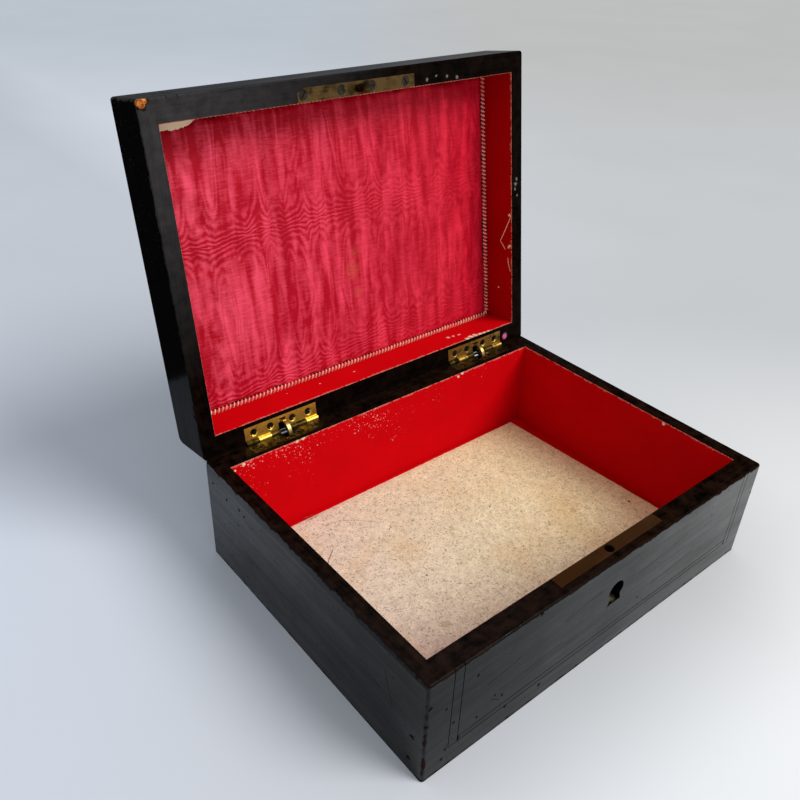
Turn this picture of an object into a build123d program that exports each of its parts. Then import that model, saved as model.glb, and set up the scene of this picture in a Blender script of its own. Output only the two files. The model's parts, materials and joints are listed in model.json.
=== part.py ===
from build123d import *
import math
import os

# An ebonised wooden box with a silk-lined, hinged lid, a pair of stop hinges and a cut box lock.
# Millimetres. +X runs right along the front, +Y to the back where the hinges are, +Z up.
# The origin is the middle of the underside. The lid is drawn shut, then swung open to its stops.

# ---- carcass ----
box_width = 260.0
box_depth = 195.0
base_height = 67.5
lid_height = 33.0
side_wall = 9.0
front_wall = 12.0
back_wall = 12.5
bottom_thickness = 4.0
top_thickness = 6.0
rim_gap = 0.2  # hairline left between the two rims when the lid is shut
lid_open_angle = 98.8
corner_radius = 1.8  # upright arrises, and those round the top
base_rim_radius = 1.5  # arrises of the base rim, worn by hands, but sharp along the hinges
lid_rim_radius = 0.8  # arrises of the lid rim, sharp along the hinges too
over = 1.0  # a cut runs on this far past the face that it opens
lid_back_radius = 5.0  # rounded back edge of the top
wear_inset = 1.2  # bevel worn along the left end of the base rim
wear_drop_front = 2.5
wear_drop_back = 6.5

# ---- string inlay, measured on the front face ----
string_left_inset = 15.2
string_left_width = 6.2
string_right_inset = 13.2
string_right_width = 4.4
string_foot_inset = 13.0
string_foot_width = 3.9
string_top_inset = 13.0
string_depth = 1.2
string_joint = 0.45  # shrinkage gap each side of a string

# ---- linings ----
lining_thickness = 0.4
lining_drop = 0.7  # the paper stops this far below a rim
lining_hem = 12.0  # margin turned over on to the bottom board
paper_gap = 0.6  # the front sheet stops this far from the lock's back plate
card_thickness = 1.0
cloth_thickness = 0.6
card_gap = 0.6
card_gap_back = 2.6
card_gap_back_right = 9.0  # the card is cut out of square at its right end
silk_thickness = 3.0
silk_radius = 1.0
silk_margin = 3.0  # from the wall lining to the silk panel, where the cord lies
cord_radius = 1.35

# ---- stop hinges ----
hinge_length = 50.0
hinge_inset_left = 27.2  # from the left face to the left hinge
hinge_inset_right = 22.6
leaf_width = 10.3
leaf_thickness = 1.5
knuckle_radius = 1.8
knuckle_length = 8.3
knuckle_end_gap = 0.1
knuckle_clearance = 0.3
hinge_pin_radius = 0.8
pin_running_clearance = 0.05
slot_start = 22.8  # slot of the stop arm, from the left end of a leaf
slot_width = 5.2
slot_reach = 8.6  # from the hinge axis into the leaf
arm_inner_radius = 5.5
arm_depth = 1.8
arm_thickness = 2.2
arm_side_gap = 0.5  # between the arm and the right side of its slot
arm_head_angle = 7.0
arm_head_start = 18.5  # below the leaf plane, so that the head clears the leaf
arm_head_overlap = 1.2
pocket_clearance = 0.35

# ---- hinge screws ----
leaf_screw_inset = 6.0
leaf_screw_pitch = 11.3
leaf_screw_line = 6.0  # from the hinge axis
leaf_sink_radius = 2.6
leaf_shank_radius = 1.1
leaf_screw_length = 9.0

# ---- how the slots were left: angle of a row's first screw and the step to the next ----
base_leaf_slots = (20, 47)
lid_leaf_slots = (75, 33)
strike_slots = (55, -38)
lock_slots = (10, 61)

# ---- lock and strike, drawn about the middle of the selvedge ----
lock_offset = -0.9  # the lock sits a little left of the box's middle
plate_length = 80.8
plate_width = 7.2
plate_thickness = 1.5
stud_from_face = 8.4  # from the front face to the stud's axis
stud_radius = 2.4
stud_length = 8.5
stud_hole_radius = 2.75
stud_rivet_radius = 1.5
stud_window_start = 4.5
stud_window = 2.4
stud_tip_bevel = 0.8
strike_clip_length = 4.6  # corner snipped off the strike plate
strike_clip_width = 2.2
strike_screw_inset_left = 3.7  # hand-set screws, none at an even pitch
strike_screw_inset_right = 6.4
strike_screw_inner_left = 11.6  # from the stud
strike_screw_inner_right = 9.6
strike_sink_radius = 3.1
strike_shank_radius = 1.6
strike_screw_length = 11.0
screw_sink = 0.4  # how far a screw head lies below the plate
screw_slot_width = 0.8
screw_slot_depth = 0.6
head_flats = 16  # two dozen small screws are drawn with flats, which keeps them light
shank_flats = head_flats // 2
back_plate_length = 60.0
back_plate_height = 34.0
back_plate_thickness = 1.0
case_length = 48.0
case_height = 32.0
case_wall = 0.7
case_front = 4.9  # from the front face to the lock case
case_fit = 0.1
lock_screw_inset = 3.2
lock_screw_top = 7.0
lock_screw_pitch = 20.0
lock_sink_radius = 1.8
lock_shank_radius = 0.9
lock_screw_length = 6.0
key_shift = 1.8  # the key turns a little right of the stud
key_drop = 24.0  # from the rim to the key pin
key_pin_radius = 0.9
key_pin_reach = 3.2  # from the front face to the tip of the key pin
key_hole_radius = 2.3
key_slot_width = 2.2
key_slot_length = 7.0
escutcheon_radius = 5.8  # opening left by the lost escutcheon: a round over a splayed foot
escutcheon_drop = 23.7  # from the rim to the middle of the round
escutcheon_foot_drop = 32.8
escutcheon_foot_width = 10.8
escutcheon_waist_drop = 27.2
escutcheon_waist_width = 7.6

# ---- bolt, seen from the front ----
bolt_thickness = 2.0
bolt_throw = 5.0
bolt_length = 30.0
bolt_height = 7.0
bolt_nose_gap = 0.8  # from the stud to the drawn bolt
bolt_nose_height = 2.0
bolt_nose_length = 5.4
bolt_riser_width = 5.5
bolt_stud_gap = 1.2  # under the tip of the stud
guide_radius = 0.9
guide_slot_clearance = 0.1
guide_pitch = 14.0
guide_from_nose = 1.8
talon_radius = 3.2  # of the round notch that the key's bit turns in
talon_below = 1.1  # from the bolt's lower edge down to that round's middle
detent_depth = 0.8
detent_from_tail = 6.0
spring_thickness = 0.4
spring_lift = 0.25
spring_tail = 2.4  # straight end beyond the vee

# ---- wax plug in the lid's back rim ----
plug_radius = 3.0
plug_socket_radius = 3.35
plug_depth = 3.0
plug_sink = 0.3
plug_inset_right = 17.4
plug_from_axis = 4.4

# ---- places worked out from those sizes ----
left_face = -box_width / 2
right_face = box_width / 2
front_face = -box_depth / 2
back_face = box_depth / 2
inner_left = left_face + side_wall
inner_right = right_face - side_wall
inner_front = front_face + front_wall
inner_back = back_face - back_wall
lid_rim = base_height + rim_gap
lid_top = lid_rim + lid_height
lid_ceiling = lid_top - top_thickness
axis_height = base_height + rim_gap / 2
hinge_axis = Axis((0, back_face, axis_height), (1, 0, 0))
knuckle_reach = knuckle_radius + knuckle_clearance
slot_end = slot_start + slot_width
arm_outer_radius = arm_inner_radius + arm_depth
left_hinge = left_face + hinge_inset_left
right_hinge = right_face - hinge_inset_right - hinge_length
stud_line = front_face + stud_from_face
plate_front = inner_front - plate_width
back_plate_front = inner_front - back_plate_thickness
lock_ceiling = base_height - plate_thickness
case_floor = lock_ceiling - case_height
key_height = base_height - key_drop
bolt_front = stud_line - bolt_thickness / 2
bolt_top = base_height - stud_length - bolt_stud_gap
bolt_floor = bolt_top - bolt_height
nose_middle = base_height - stud_window_start - stud_window / 2
nose_tip = stud_radius + bolt_nose_gap
bolt_tail = nose_tip + bolt_nose_length + bolt_riser_width - bolt_length
floor_seat = bottom_thickness + lining_thickness


def block(x, y, z):
    """Box from a pair of limits along each axis."""
    size = (x[1] - x[0], y[1] - y[0], z[1] - z[0])
    return Pos(x[0], y[0], z[0]) * Box(*size, align=(Align.MIN, Align.MIN, Align.MIN))


def prism(outline, z):
    """Plan outline carried between two heights."""
    face = make_face(Polyline(*outline, close=True))
    return extrude(Plane.XY.offset(z[0]) * face, z[1] - z[0])


def rod_x(x, y, z, radius):
    """Rod along X between two limits."""
    along = Plane(origin=(x[0], y, z), z_dir=(1, 0, 0))
    return extrude(along * Circle(radius), x[1] - x[0])


def rod_y(x, y, z, radius):
    """Rod along Y between two limits."""
    along = Plane(origin=(x, y[0], z), z_dir=(0, 1, 0))
    return extrude(along * Circle(radius), y[1] - y[0])


def ring_sector(x, inner, outer, start, stop):
    """Piece of a ring about the hinge axis. Angles in degrees from +Y towards +Z."""
    turn = stop - start
    arcs = [CenterArc((0, 0), radius, start, turn) for radius in (inner, outer)]
    ends = [Line(arcs[0] @ place, arcs[1] @ place) for place in (0, 1)]
    plane = Plane(origin=(x[0], back_face, axis_height), x_dir=(0, 1, 0), z_dir=(1, 0, 0))
    return extrude(plane * make_face(Curve() + arcs + ends), x[1] - x[0])


def slab_y(outline, y):
    """Outline in X and Z carried between two depths."""
    plane = Plane(origin=(0, y[1], 0), x_dir=(1, 0, 0), z_dir=(0, -1, 0))
    return extrude(plane * make_face(Polyline(*outline, close=True)), y[1] - y[0])


def join(pieces):
    """Fuse a list of touching or overlapping solids."""
    whole = pieces[0]
    for piece in pieces[1:]:
        whole = whole + piece
    return whole


def cut(body, tools):
    """Take a list of solids away from a body."""
    for tool in tools:
        body = body - tool
    return body


def group(pieces):
    """Separate solids that share one node."""
    return Compound(children=[piece.solid() for piece in pieces])


def at_lock(pieces):
    """Pieces or cuts of the lock and its strike, moved from the middle to where the lock sits."""
    return [Pos(lock_offset, 0, 0) * piece for piece in pieces]


# ---- screws: drawn pointing down, with the plate's surface at height 0 ----

def screw_form(sink_radius, shank_radius, length):
    """Head drafted at 45 degrees down to the shank, which is left plain and blunt."""
    depth = (sink_radius - shank_radius) * math.cos(math.pi / head_flats)
    head = extrude(Plane.XY * RegularPolygon(sink_radius, head_flats), -depth)
    head = draft(head.faces().filter_by(Axis.Z, reverse=True), Plane.XY, -45)
    return head + extrude(Plane.XY * RegularPolygon(shank_radius, shank_flats), -length)


def screw(sink_radius, shank_radius, length, slot_angle):
    """The form below the plate's surface, with a slot across its head."""
    above = Pos(0, 0, -screw_sink / 2) * Box(3 * sink_radius, 3 * sink_radius, screw_sink)
    slot = Box(2 * sink_radius, screw_slot_width, 2 * screw_slot_depth)
    body = screw_form(sink_radius, shank_radius, length) - above
    return body - Pos(0, 0, -screw_sink) * Rot(0, 0, slot_angle) * slot


def screw_set(sizes, places, slots):
    """One screw at each place, each slot left at its own angle."""
    first, step = slots
    return [place * screw(*sizes, first + step * i) for i, place in enumerate(places)]


def screw_holes(sizes, places):
    return [place * screw_form(*sizes) for place in places]


# ---- carcass ----

def seam_outlines():
    """Plan of the four boards. The seams are lapped mitres: each runs at 45 degrees from the inner
    corner, and the front and back boards lap over the ends of the thinner side boards."""
    front_lap = front_face + front_wall - side_wall
    back_lap = back_face - back_wall + side_wall
    front = [
        (left_face, front_face), (right_face, front_face), (right_face, front_lap),
        (inner_right, inner_front), (inner_left, inner_front), (left_face, front_lap),
    ]
    back = [
        (left_face, back_face), (right_face, back_face), (right_face, back_lap),
        (inner_right, inner_back), (inner_left, inner_back), (left_face, back_lap),
    ]
    left = [
        (left_face, front_lap), (inner_left, inner_front),
        (inner_left, inner_back), (left_face, back_lap),
    ]
    right = [
        (right_face, front_lap), (inner_right, inner_front),
        (inner_right, inner_back), (right_face, back_lap),
    ]
    return {"front": front, "back": back, "left": left, "right": right}


def boards(ring, z):
    """Cut a four-sided ring into its boards along the seams."""
    return {side: ring & prism(outline, z) for side, outline in seam_outlines().items()}


def inner_hollow(z):
    """The clear space between the four boards."""
    return block((inner_left, inner_right), (inner_front, inner_back), z)


def worn_rim(z, rim_z, radius):
    """Envelope with rounded rim arrises at the front and sides. It runs on past the back, so that
    the arris along the hinges stays sharp."""
    form = block((left_face, right_face), (front_face, back_face + box_depth / 2), z)
    form = fillet(form.edges().filter_by(Axis.Z).sort_by(Axis.Y)[:2], corner_radius)
    rim = form.edges().filter_by(lambda edge: abs(edge.center().Z - rim_z) < radius / 2)
    return fillet(rim.sort_by(Axis.Y)[:-1], radius)


def base_form():
    """The base's outer form: rounded upright arrises, worn rim, square foot."""
    outer = block((left_face, right_face), (front_face, back_face), (0, base_height))
    outer = fillet(outer.edges().filter_by(Axis.Z), corner_radius)
    return (outer & worn_rim((0, base_height), base_height, base_rim_radius)) - worn_bevel()


def base_ring():
    """Frame of the base before it is cut into boards."""
    return base_form() - inner_hollow((-over, base_height + over))


def lid_form():
    """The lid's outer form, with its back top edge well rounded."""
    outer = block((left_face, right_face), (front_face, back_face), (lid_rim, lid_top))
    back = outer.edges().group_by(Axis.Z)[-1].sort_by(Axis.Y)[-1]
    outer = fillet(back, lid_back_radius)
    rim = outer.edges().group_by(Axis.Z)[0]
    front = outer.edges().filter_by(Axis.X).group_by(Axis.Z)[-1].sort_by(Axis.Y)[0]
    at_ends = outer.edges().filter_by(lambda edge: abs(edge.center().X) > right_face - corner_radius)
    outer = fillet([front] + list(at_ends - rim), corner_radius)
    return outer & worn_rim((lid_rim, lid_top), lid_rim, lid_rim_radius)


def lid_part(z):
    """Slice of the lid's outer form between two heights."""
    return lid_form() & block((left_face, right_face), (front_face, back_face), z)


def lid_ring():
    """Frame of the lid before it is cut into boards."""
    return lid_part((lid_rim, lid_ceiling)) - inner_hollow((lid_rim - over, lid_top))


def top_board():
    """Top glued over the lid's frame."""
    return lid_part((lid_ceiling, lid_top))


def worn_bevel():
    """Wedge that the worn left end of the base rim has lost, deeper towards the back."""
    def section(y, drop):
        slope = drop / wear_inset
        outside = left_face - over
        above = base_height + over * slope
        corners = [
            (left_face + wear_inset + over, above),
            (outside, above),
            (outside, base_height - drop - over * slope),
        ]
        plane = Plane(origin=(0, y, 0), x_dir=(1, 0, 0), z_dir=(0, -1, 0))
        return plane * make_face(Polyline(*corners, close=True))
    return loft([section(front_face, wear_drop_front), section(back_face, wear_drop_back)])


# ---- string inlay: each string as (limits along X, limits up the face) ----

def string_columns():
    left = left_face + string_left_inset
    right = right_face - string_right_inset
    return (left, left + string_left_width), (right - string_right_width, right)


def base_strings():
    left, right = string_columns()
    foot = (string_foot_inset, string_foot_inset + string_foot_width)
    up = (foot[0], base_height + over)
    return {"left": (left, up), "foot": ((left[1], right[0]), foot), "right": (right, up)}


def lid_strings():
    left, right = string_columns()
    head = (lid_top - string_top_inset - string_foot_width, lid_top - string_top_inset)
    down = (lid_rim - over, head[1])
    return {"left": (left, down), "head": ((left[1], right[0]), head), "right": (right, down)}


def string_grooves(strings):
    """The grooves, open at the front face."""
    depth = (front_face - over, front_face + string_depth)
    return [block(x, depth, z) for x, z in strings.values()]


def string_pieces(strings, form):
    """The strings themselves, narrower than their grooves and worn flush with the box's form."""
    gap = string_joint
    y = (front_face, front_face + string_depth)
    pieces = {}
    for name, (x, z) in strings.items():
        pieces[name] = block((x[0] + gap, x[1] - gap), y, (z[0] + gap, z[1] - gap)) & form
    return pieces


# ---- stop hinges, drawn shut ----

def leaf_screw_places(start, on_base):
    """Screw places on one leaf: driven down into the base, or up into the lid."""
    face_height = base_height if on_base else lid_rim
    turn = 0 if on_base else 180
    near_end = [leaf_screw_inset, leaf_screw_inset + leaf_screw_pitch]
    along = near_end + [hinge_length - x for x in reversed(near_end)]
    line = back_face - leaf_screw_line
    return [Pos(start + x, line, face_height) * Rot(turn, 0, 0) for x in along]


leaf_screw = (leaf_sink_radius, leaf_shank_radius, leaf_screw_length)


def knuckles(start, on_base):
    """Limits along X of the barrel's knuckles on one leaf."""
    end = hinge_length
    base_set = [(0, knuckle_length), (2 * knuckle_length, slot_start), (slot_end, end - knuckle_length)]
    lid_set = [(knuckle_length, 2 * knuckle_length), (end - knuckle_length, end)]
    chosen = base_set if on_base else lid_set
    gap = knuckle_end_gap / 2
    return [(start + a + gap, start + b - gap) for a, b in chosen]


def leaf_depth(on_base):
    """Limits in height of a leaf let into its rim."""
    if on_base:
        return base_height - leaf_thickness, base_height
    return lid_rim, lid_rim + leaf_thickness


def leaf(start, on_base):
    """Leaf with its knuckles, screw holes and the slot that the stop arm runs in."""
    ends = (start, start + hinge_length)
    plate = block(ends, (back_face - leaf_width, back_face), leaf_depth(on_base))
    for x in knuckles(start, not on_base):
        spare = (x[0] - knuckle_end_gap, x[1] + knuckle_end_gap)
        plate = plate - rod_x(spare, back_face, axis_height, knuckle_reach)
    barrels = [rod_x(x, back_face, axis_height, knuckle_radius) for x in knuckles(start, on_base)]
    bore_radius = hinge_pin_radius + (0 if on_base else pin_running_clearance)
    slot_x = (start + slot_start, start + slot_end)
    beyond = 2 * knuckle_radius
    slot_y = (back_face - slot_reach, back_face + beyond)
    slot = block(slot_x, slot_y, (axis_height - beyond, axis_height + beyond))
    bore = rod_x(ends, back_face, axis_height, bore_radius)
    holes = screw_holes(leaf_screw, leaf_screw_places(start, on_base))
    return cut(join([plate] + barrels), [slot, bore] + holes)


def leaf_mortise(start, on_base):
    """What a board loses to one leaf: its bed, the barrel's notch, the arm's pocket, the holes."""
    bottom, top = leaf_depth(on_base)
    ends = (start, start + hinge_length)
    bed_z = (bottom, top + over) if on_base else (bottom - over, top)
    bed = block(ends, (back_face - leaf_width, back_face + over), bed_z)
    notch_x = (ends[0] - knuckle_end_gap, ends[1] + knuckle_end_gap)
    notch = rod_x(notch_x, back_face, axis_height, knuckle_reach)
    head = arm_head_x(start)
    pocket_x = (head[0] - pocket_clearance, head[1] + pocket_clearance)
    swing = math.radians(lid_open_angle / 2 + arm_head_start + arm_head_angle)
    pocket_y = (
        back_face - arm_outer_radius - pocket_clearance,
        back_face - arm_inner_radius * math.cos(swing) + pocket_clearance,
    )
    reach = arm_outer_radius + pocket_clearance
    pocket_z = (axis_height - reach, top) if on_base else (bottom, axis_height + reach)
    holes = screw_holes(leaf_screw, leaf_screw_places(start, on_base))
    return [bed, notch, block(pocket_x, pocket_y, pocket_z)] + holes


def arm_x(start):
    right = start + slot_end - arm_side_gap
    return right - arm_thickness, right


def arm_head_x(start):
    return start + slot_start - arm_head_overlap, start + slot_end + arm_head_overlap


def stop_arm(start):
    """Curved stay that floats through both leaves, with a broad head under each."""
    inwards = 180.0
    lid_side = inwards - lid_open_angle
    first = lid_side - arm_head_start - arm_head_angle
    last = inwards + arm_head_start + arm_head_angle
    web = ring_sector(arm_x(start), arm_inner_radius, arm_outer_radius, first, last)
    x = arm_head_x(start)
    near = ring_sector(x, arm_inner_radius, arm_outer_radius, first, first + arm_head_angle)
    far = ring_sector(x, arm_inner_radius, arm_outer_radius, last - arm_head_angle, last)
    return join([web, near, far])


def hinge_pin(start):
    return rod_x((start, start + hinge_length), back_face, axis_height, hinge_pin_radius)


# ---- cut box lock ----

lock_screw = (lock_sink_radius, lock_shank_radius, lock_screw_length)
strike_screw = (strike_sink_radius, strike_shank_radius, strike_screw_length)


def lock_screw_places():
    """Driven through the back plate's flanges, from inside the box towards the front."""
    reach = back_plate_length / 2 - lock_screw_inset
    heights = (base_height - lock_screw_top, base_height - lock_screw_top - lock_screw_pitch)
    return [Pos(x, inner_front, z) * Rot(-90, 0, 0) for x in (-reach, reach) for z in heights]


def strike_screw_places():
    half = plate_length / 2
    outer_left = strike_screw_inset_left - half
    outer_right = half - strike_screw_inset_right
    along = (outer_left, -strike_screw_inner_left, strike_screw_inner_right, outer_right)
    return [Pos(x, stud_line, lid_rim) * Rot(180, 0, 0) for x in along]


def case_block(spare):
    """Outer shape of the lock case, with an allowance all round for its hole in the wood."""
    half = case_length / 2 + spare
    y = (front_face + case_front - spare, back_plate_front)
    return block((-half, half), y, (case_floor - spare, lock_ceiling))


def selvedge_x():
    return -plate_length / 2, plate_length / 2


def back_plate_x():
    return -back_plate_length / 2, back_plate_length / 2


def lock_plate():
    """Selvedge with the stud's hole, and the back plate that hangs from it, in one piece."""
    through = (back_plate_front, inner_front)
    selvedge = block(selvedge_x(), (plate_front, inner_front), (lock_ceiling, base_height))
    back = block(back_plate_x(), through, (base_height - back_plate_height, lock_ceiling))
    hole = Pos(0, stud_line, base_height) * Cylinder(stud_hole_radius, 4 * plate_thickness)
    rivets = [rod_y(key_shift, through, key_height, key_pin_radius)]
    rivets += [rod_y(x, through, z, guide_radius) for x, z in guide_places()]
    return cut(selvedge + back, [hole] + rivets + screw_holes(lock_screw, lock_screw_places()))


def key_way(y):
    """Keyhole in the lock case: a round for the key's barrel and a slot for its bit."""
    half = key_slot_width / 2
    slot = block((key_shift - half, key_shift + half), y, (key_height - key_slot_length, key_height))
    return rod_y(key_shift, y, key_height, key_hole_radius) + slot


def lock_case():
    """Shallow box over the works, open towards the back plate and under the selvedge."""
    half = case_length / 2 - case_wall
    inside_y = (front_face + case_front + case_wall, inner_front)
    inside = block((-half, half), inside_y, (case_floor + case_wall, base_height))
    return case_block(0) - inside - key_way((front_face + case_front - over, inside_y[0] + over))


def guide_places():
    """Two studs that carry the bolt, at the left ends of its slots when it is drawn."""
    first = nose_tip + guide_from_nose
    middle = bolt_floor + bolt_height / 2
    return [(first, middle), (first - guide_pitch, middle)]


def guide_studs():
    """Shouldered rivets through the bolt's slots."""
    reach = (bolt_front - case_wall, inner_front)
    return [rod_y(x, reach, z, guide_radius) for x, z in guide_places()]


def bolt():
    """Flat bolt: a nose for the stud's window, a bar on two guide studs, a talon for the key."""
    y = (bolt_front, bolt_front + bolt_thickness)
    nose_z = (nose_middle - bolt_nose_height / 2, nose_middle + bolt_nose_height / 2)
    riser_x = (nose_tip + bolt_nose_length, nose_tip + bolt_nose_length + bolt_riser_width)
    bar = block((bolt_tail, riser_x[1]), y, (bolt_floor, bolt_top))
    riser = block(riser_x, y, (bolt_floor, nose_z[1]))
    nose = block((nose_tip, riser_x[1]), y, nose_z)
    talon = rod_y(key_shift, y, bolt_floor - talon_below, talon_radius)
    slot_radius = guide_radius + guide_slot_clearance
    slots = []
    for x, z in guide_places():
        for end in (x, x + bolt_throw):
            slots.append(rod_y(end, y, z, slot_radius))
        slots.append(block((x, x + bolt_throw), y, (z - slot_radius, z + slot_radius)))
    notches = [detent_notch(x, y) for x in detent_places()]
    return cut(join([bar, riser, nose]), [talon] + slots + notches)


def detent_places():
    """Notches in the bolt's top edge, one throw apart."""
    first = bolt_tail + detent_from_tail
    return first, first + bolt_throw


def detent_notch(x, y):
    """Vee notch, four times as wide as it is deep."""
    top = bolt_top + detent_depth
    half = 4 * detent_depth
    return slab_y([(x - half, top), (x + half, top), (x, bolt_top - detent_depth)], y)


def lock_spring():
    """Bent strip: a leg against the end of the case, and a vee that drops into the bolt's notch."""
    wall = -case_length / 2 + case_wall
    vee = detent_places()[0]
    low = bolt_top + spring_lift
    points = [
        (wall, bolt_floor), (wall, low + spring_thickness),
        (vee - 2 * detent_depth, low + spring_thickness),
        (vee, low + spring_thickness - detent_depth),
        (vee + 2 * detent_depth, low + spring_thickness),
        (vee + 2 * detent_depth + spring_tail, low + spring_thickness),
        (vee + 2 * detent_depth + spring_tail, low),
        (vee + 2 * detent_depth, low),
        (vee, low - detent_depth),
        (vee - 2 * detent_depth, low),
        (wall + spring_thickness, low), (wall + spring_thickness, bolt_floor),
    ]
    return slab_y(points, (bolt_front, bolt_front + bolt_thickness))


def key_pin():
    """Fixed pin that the key's hollow barrel turns on."""
    return rod_y(key_shift, (front_face + key_pin_reach, inner_front), key_height, key_pin_radius)


def lock_mortise():
    """Everything that the front board loses to the lock."""
    inside = inner_front + over
    selvedge = block(selvedge_x(), (plate_front, inside), (lock_ceiling, base_height + over))
    back_z = (base_height - back_plate_height, base_height)
    back = block(back_plate_x(), (back_plate_front, inside), back_z)
    return [selvedge, back, case_block(case_fit)] + screw_holes(lock_screw, lock_screw_places())


def escutcheon_opening():
    """Opening through the wood in front of the lock case, shaped like the escutcheon it has lost:
    a round over a foot that splays out again below its waist."""
    y = (front_face - over, front_face + case_front)
    foot_half = escutcheon_foot_width / 2
    waist_half = escutcheon_waist_width / 2
    corners = [
        (key_shift - foot_half, base_height - escutcheon_foot_drop),
        (key_shift + foot_half, base_height - escutcheon_foot_drop),
        (key_shift + waist_half, base_height - escutcheon_waist_drop),
        (key_shift, base_height - escutcheon_drop),
        (key_shift - waist_half, base_height - escutcheon_waist_drop),
    ]
    opening = rod_y(key_shift, y, base_height - escutcheon_drop, escutcheon_radius)
    return opening + slab_y(corners, y)


# ---- strike, drawn shut ----

def strike_outline():
    """Plan of the strike plate, with the front left corner snipped off."""
    half = plate_length / 2
    return [
        (-half + strike_clip_length, plate_front), (half, plate_front),
        (half, inner_front), (-half, inner_front), (-half, plate_front + strike_clip_width),
    ]


def strike_plate():
    plate = prism(strike_outline(), (lid_rim, lid_rim + plate_thickness))
    rivet = Pos(0, stud_line, lid_rim) * Cylinder(stud_rivet_radius, 4 * plate_thickness)
    return cut(plate, [rivet] + screw_holes(strike_screw, strike_screw_places()))


def strike_stud():
    """Riveted stud with a window through it for the bolt's nose, and a rounded tip."""
    outline = [
        (0, -stud_length), (stud_radius - stud_tip_bevel, -stud_length),
        (stud_radius, stud_tip_bevel - stud_length), (stud_radius, 0),
        (stud_rivet_radius, 0), (stud_rivet_radius, plate_thickness), (0, plate_thickness),
    ]
    half_section = Plane.XZ * make_face(Polyline(*outline, close=True))
    body = Pos(0, stud_line, lid_rim) * revolve(half_section, Axis.Z)
    window_z = (lid_rim - stud_window_start - stud_window, lid_rim - stud_window_start)
    window_y = (stud_line - stud_window / 2, stud_line + stud_window / 2)
    return body - block((-2 * stud_radius, 2 * stud_radius), window_y, window_z)


def strike_mortise():
    z = (lid_rim - over, lid_rim + plate_thickness)
    bed = prism(strike_outline(), z)
    open_side = block(selvedge_x(), (inner_front - over, inner_front + over), z)
    return [bed, open_side] + screw_holes(strike_screw, strike_screw_places())


# ---- wax plug ----

def plug_place(height):
    return Pos(right_face - plug_inset_right, back_face - plug_from_axis, height)


def rim_plug():
    """Plug with its face just inside its socket."""
    return plug_place(lid_rim + plug_sink) * Cylinder(
        plug_radius, plug_depth - plug_sink, align=(Align.CENTER, Align.CENTER, Align.MIN)
    )


def plug_socket():
    return plug_place(lid_rim - over) * Cylinder(
        plug_socket_radius, plug_depth + over, align=(Align.CENTER, Align.CENTER, Align.MIN)
    )


# ---- linings ----

def wall_paper(z, hem):
    """Four sheets on the inner walls, each with an optional hem at its lower edge."""
    t = lining_thickness
    x = (inner_left, inner_right)
    y = (inner_front, inner_back)
    y_between = (y[0] + t, y[1] - t)
    sheets = {
        "front": block(x, (y[0], y[0] + t), z),
        "back": block(x, (y[1] - t, y[1]), z),
        "left": block((x[0], x[0] + t), y_between, z),
        "right": block((x[1] - t, x[1]), y_between, z),
    }
    if hem:
        flat = (z[0], z[0] + t)
        y_hem = (y[0] + hem, y[1] - hem)
        sheets["front"] += block(x, (y[0], y[0] + hem), flat)
        sheets["back"] += block(x, (y[1] - hem, y[1]), flat)
        sheets["left"] += block((x[0], x[0] + hem), y_hem, flat)
        sheets["right"] += block((x[1] - hem, x[1]), y_hem, flat)
        for side in ("left", "right"):
            sheets[side] = cut(sheets[side], [sheets["front"], sheets["back"]])
    return sheets


def base_papers():
    """The front sheet is cut round the lock's back plate."""
    sheets = wall_paper((bottom_thickness, base_height - lining_drop), lining_hem)
    half = back_plate_length / 2 + paper_gap
    window_z = (base_height - back_plate_height - paper_gap, base_height + over)
    window = block((-half, half), (inner_front - over, inner_front + over), window_z)
    sheets["front"] = cut(sheets["front"], at_lock([window]))
    return sheets


def floor_outline():
    """Plan of the loose floor: square on three sides, and cut askew at its right end."""
    inset = lining_thickness + card_gap
    x = (inner_left + inset, inner_right - inset)
    y = (inner_front + inset, inner_back - lining_thickness - card_gap_back)
    return [(x[0], y[0]), (x[1], y[0]), (inner_right - card_gap_back_right, y[1]), (x[0], y[1])]


def silk_limits():
    """Plan limits of the silk panel in the lid."""
    inset = lining_thickness + silk_margin
    return (inner_left + inset, inner_right - inset), (inner_front + inset, inner_back - inset)


def silk_panel():
    """Card padded with wadding and covered in silk, glued under the top."""
    x, y = silk_limits()
    pad = block(x, y, (lid_ceiling - silk_thickness, lid_ceiling))
    return fillet(pad.edges().group_by(Axis.Z)[0], silk_radius)


def silk_cord():
    """Cord round the silk panel, lying in the margin beside the wall paper, mitred at its corners."""
    x, y = silk_limits()
    out = silk_margin / 2
    z = lid_ceiling - cord_radius
    corners = [(x[0] - out, y[0] - out, z), (x[1] + out, y[0] - out, z)]
    corners += [(x[1] + out, y[1] + out, z), (x[0] - out, y[1] + out, z)]
    path = Polyline(*corners, close=True)
    section = Plane(origin=path @ 0, z_dir=path % 0) * Circle(cord_radius)
    return sweep(section, path=path, transition=Transition.RIGHT)


# ---- assembly ----

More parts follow.
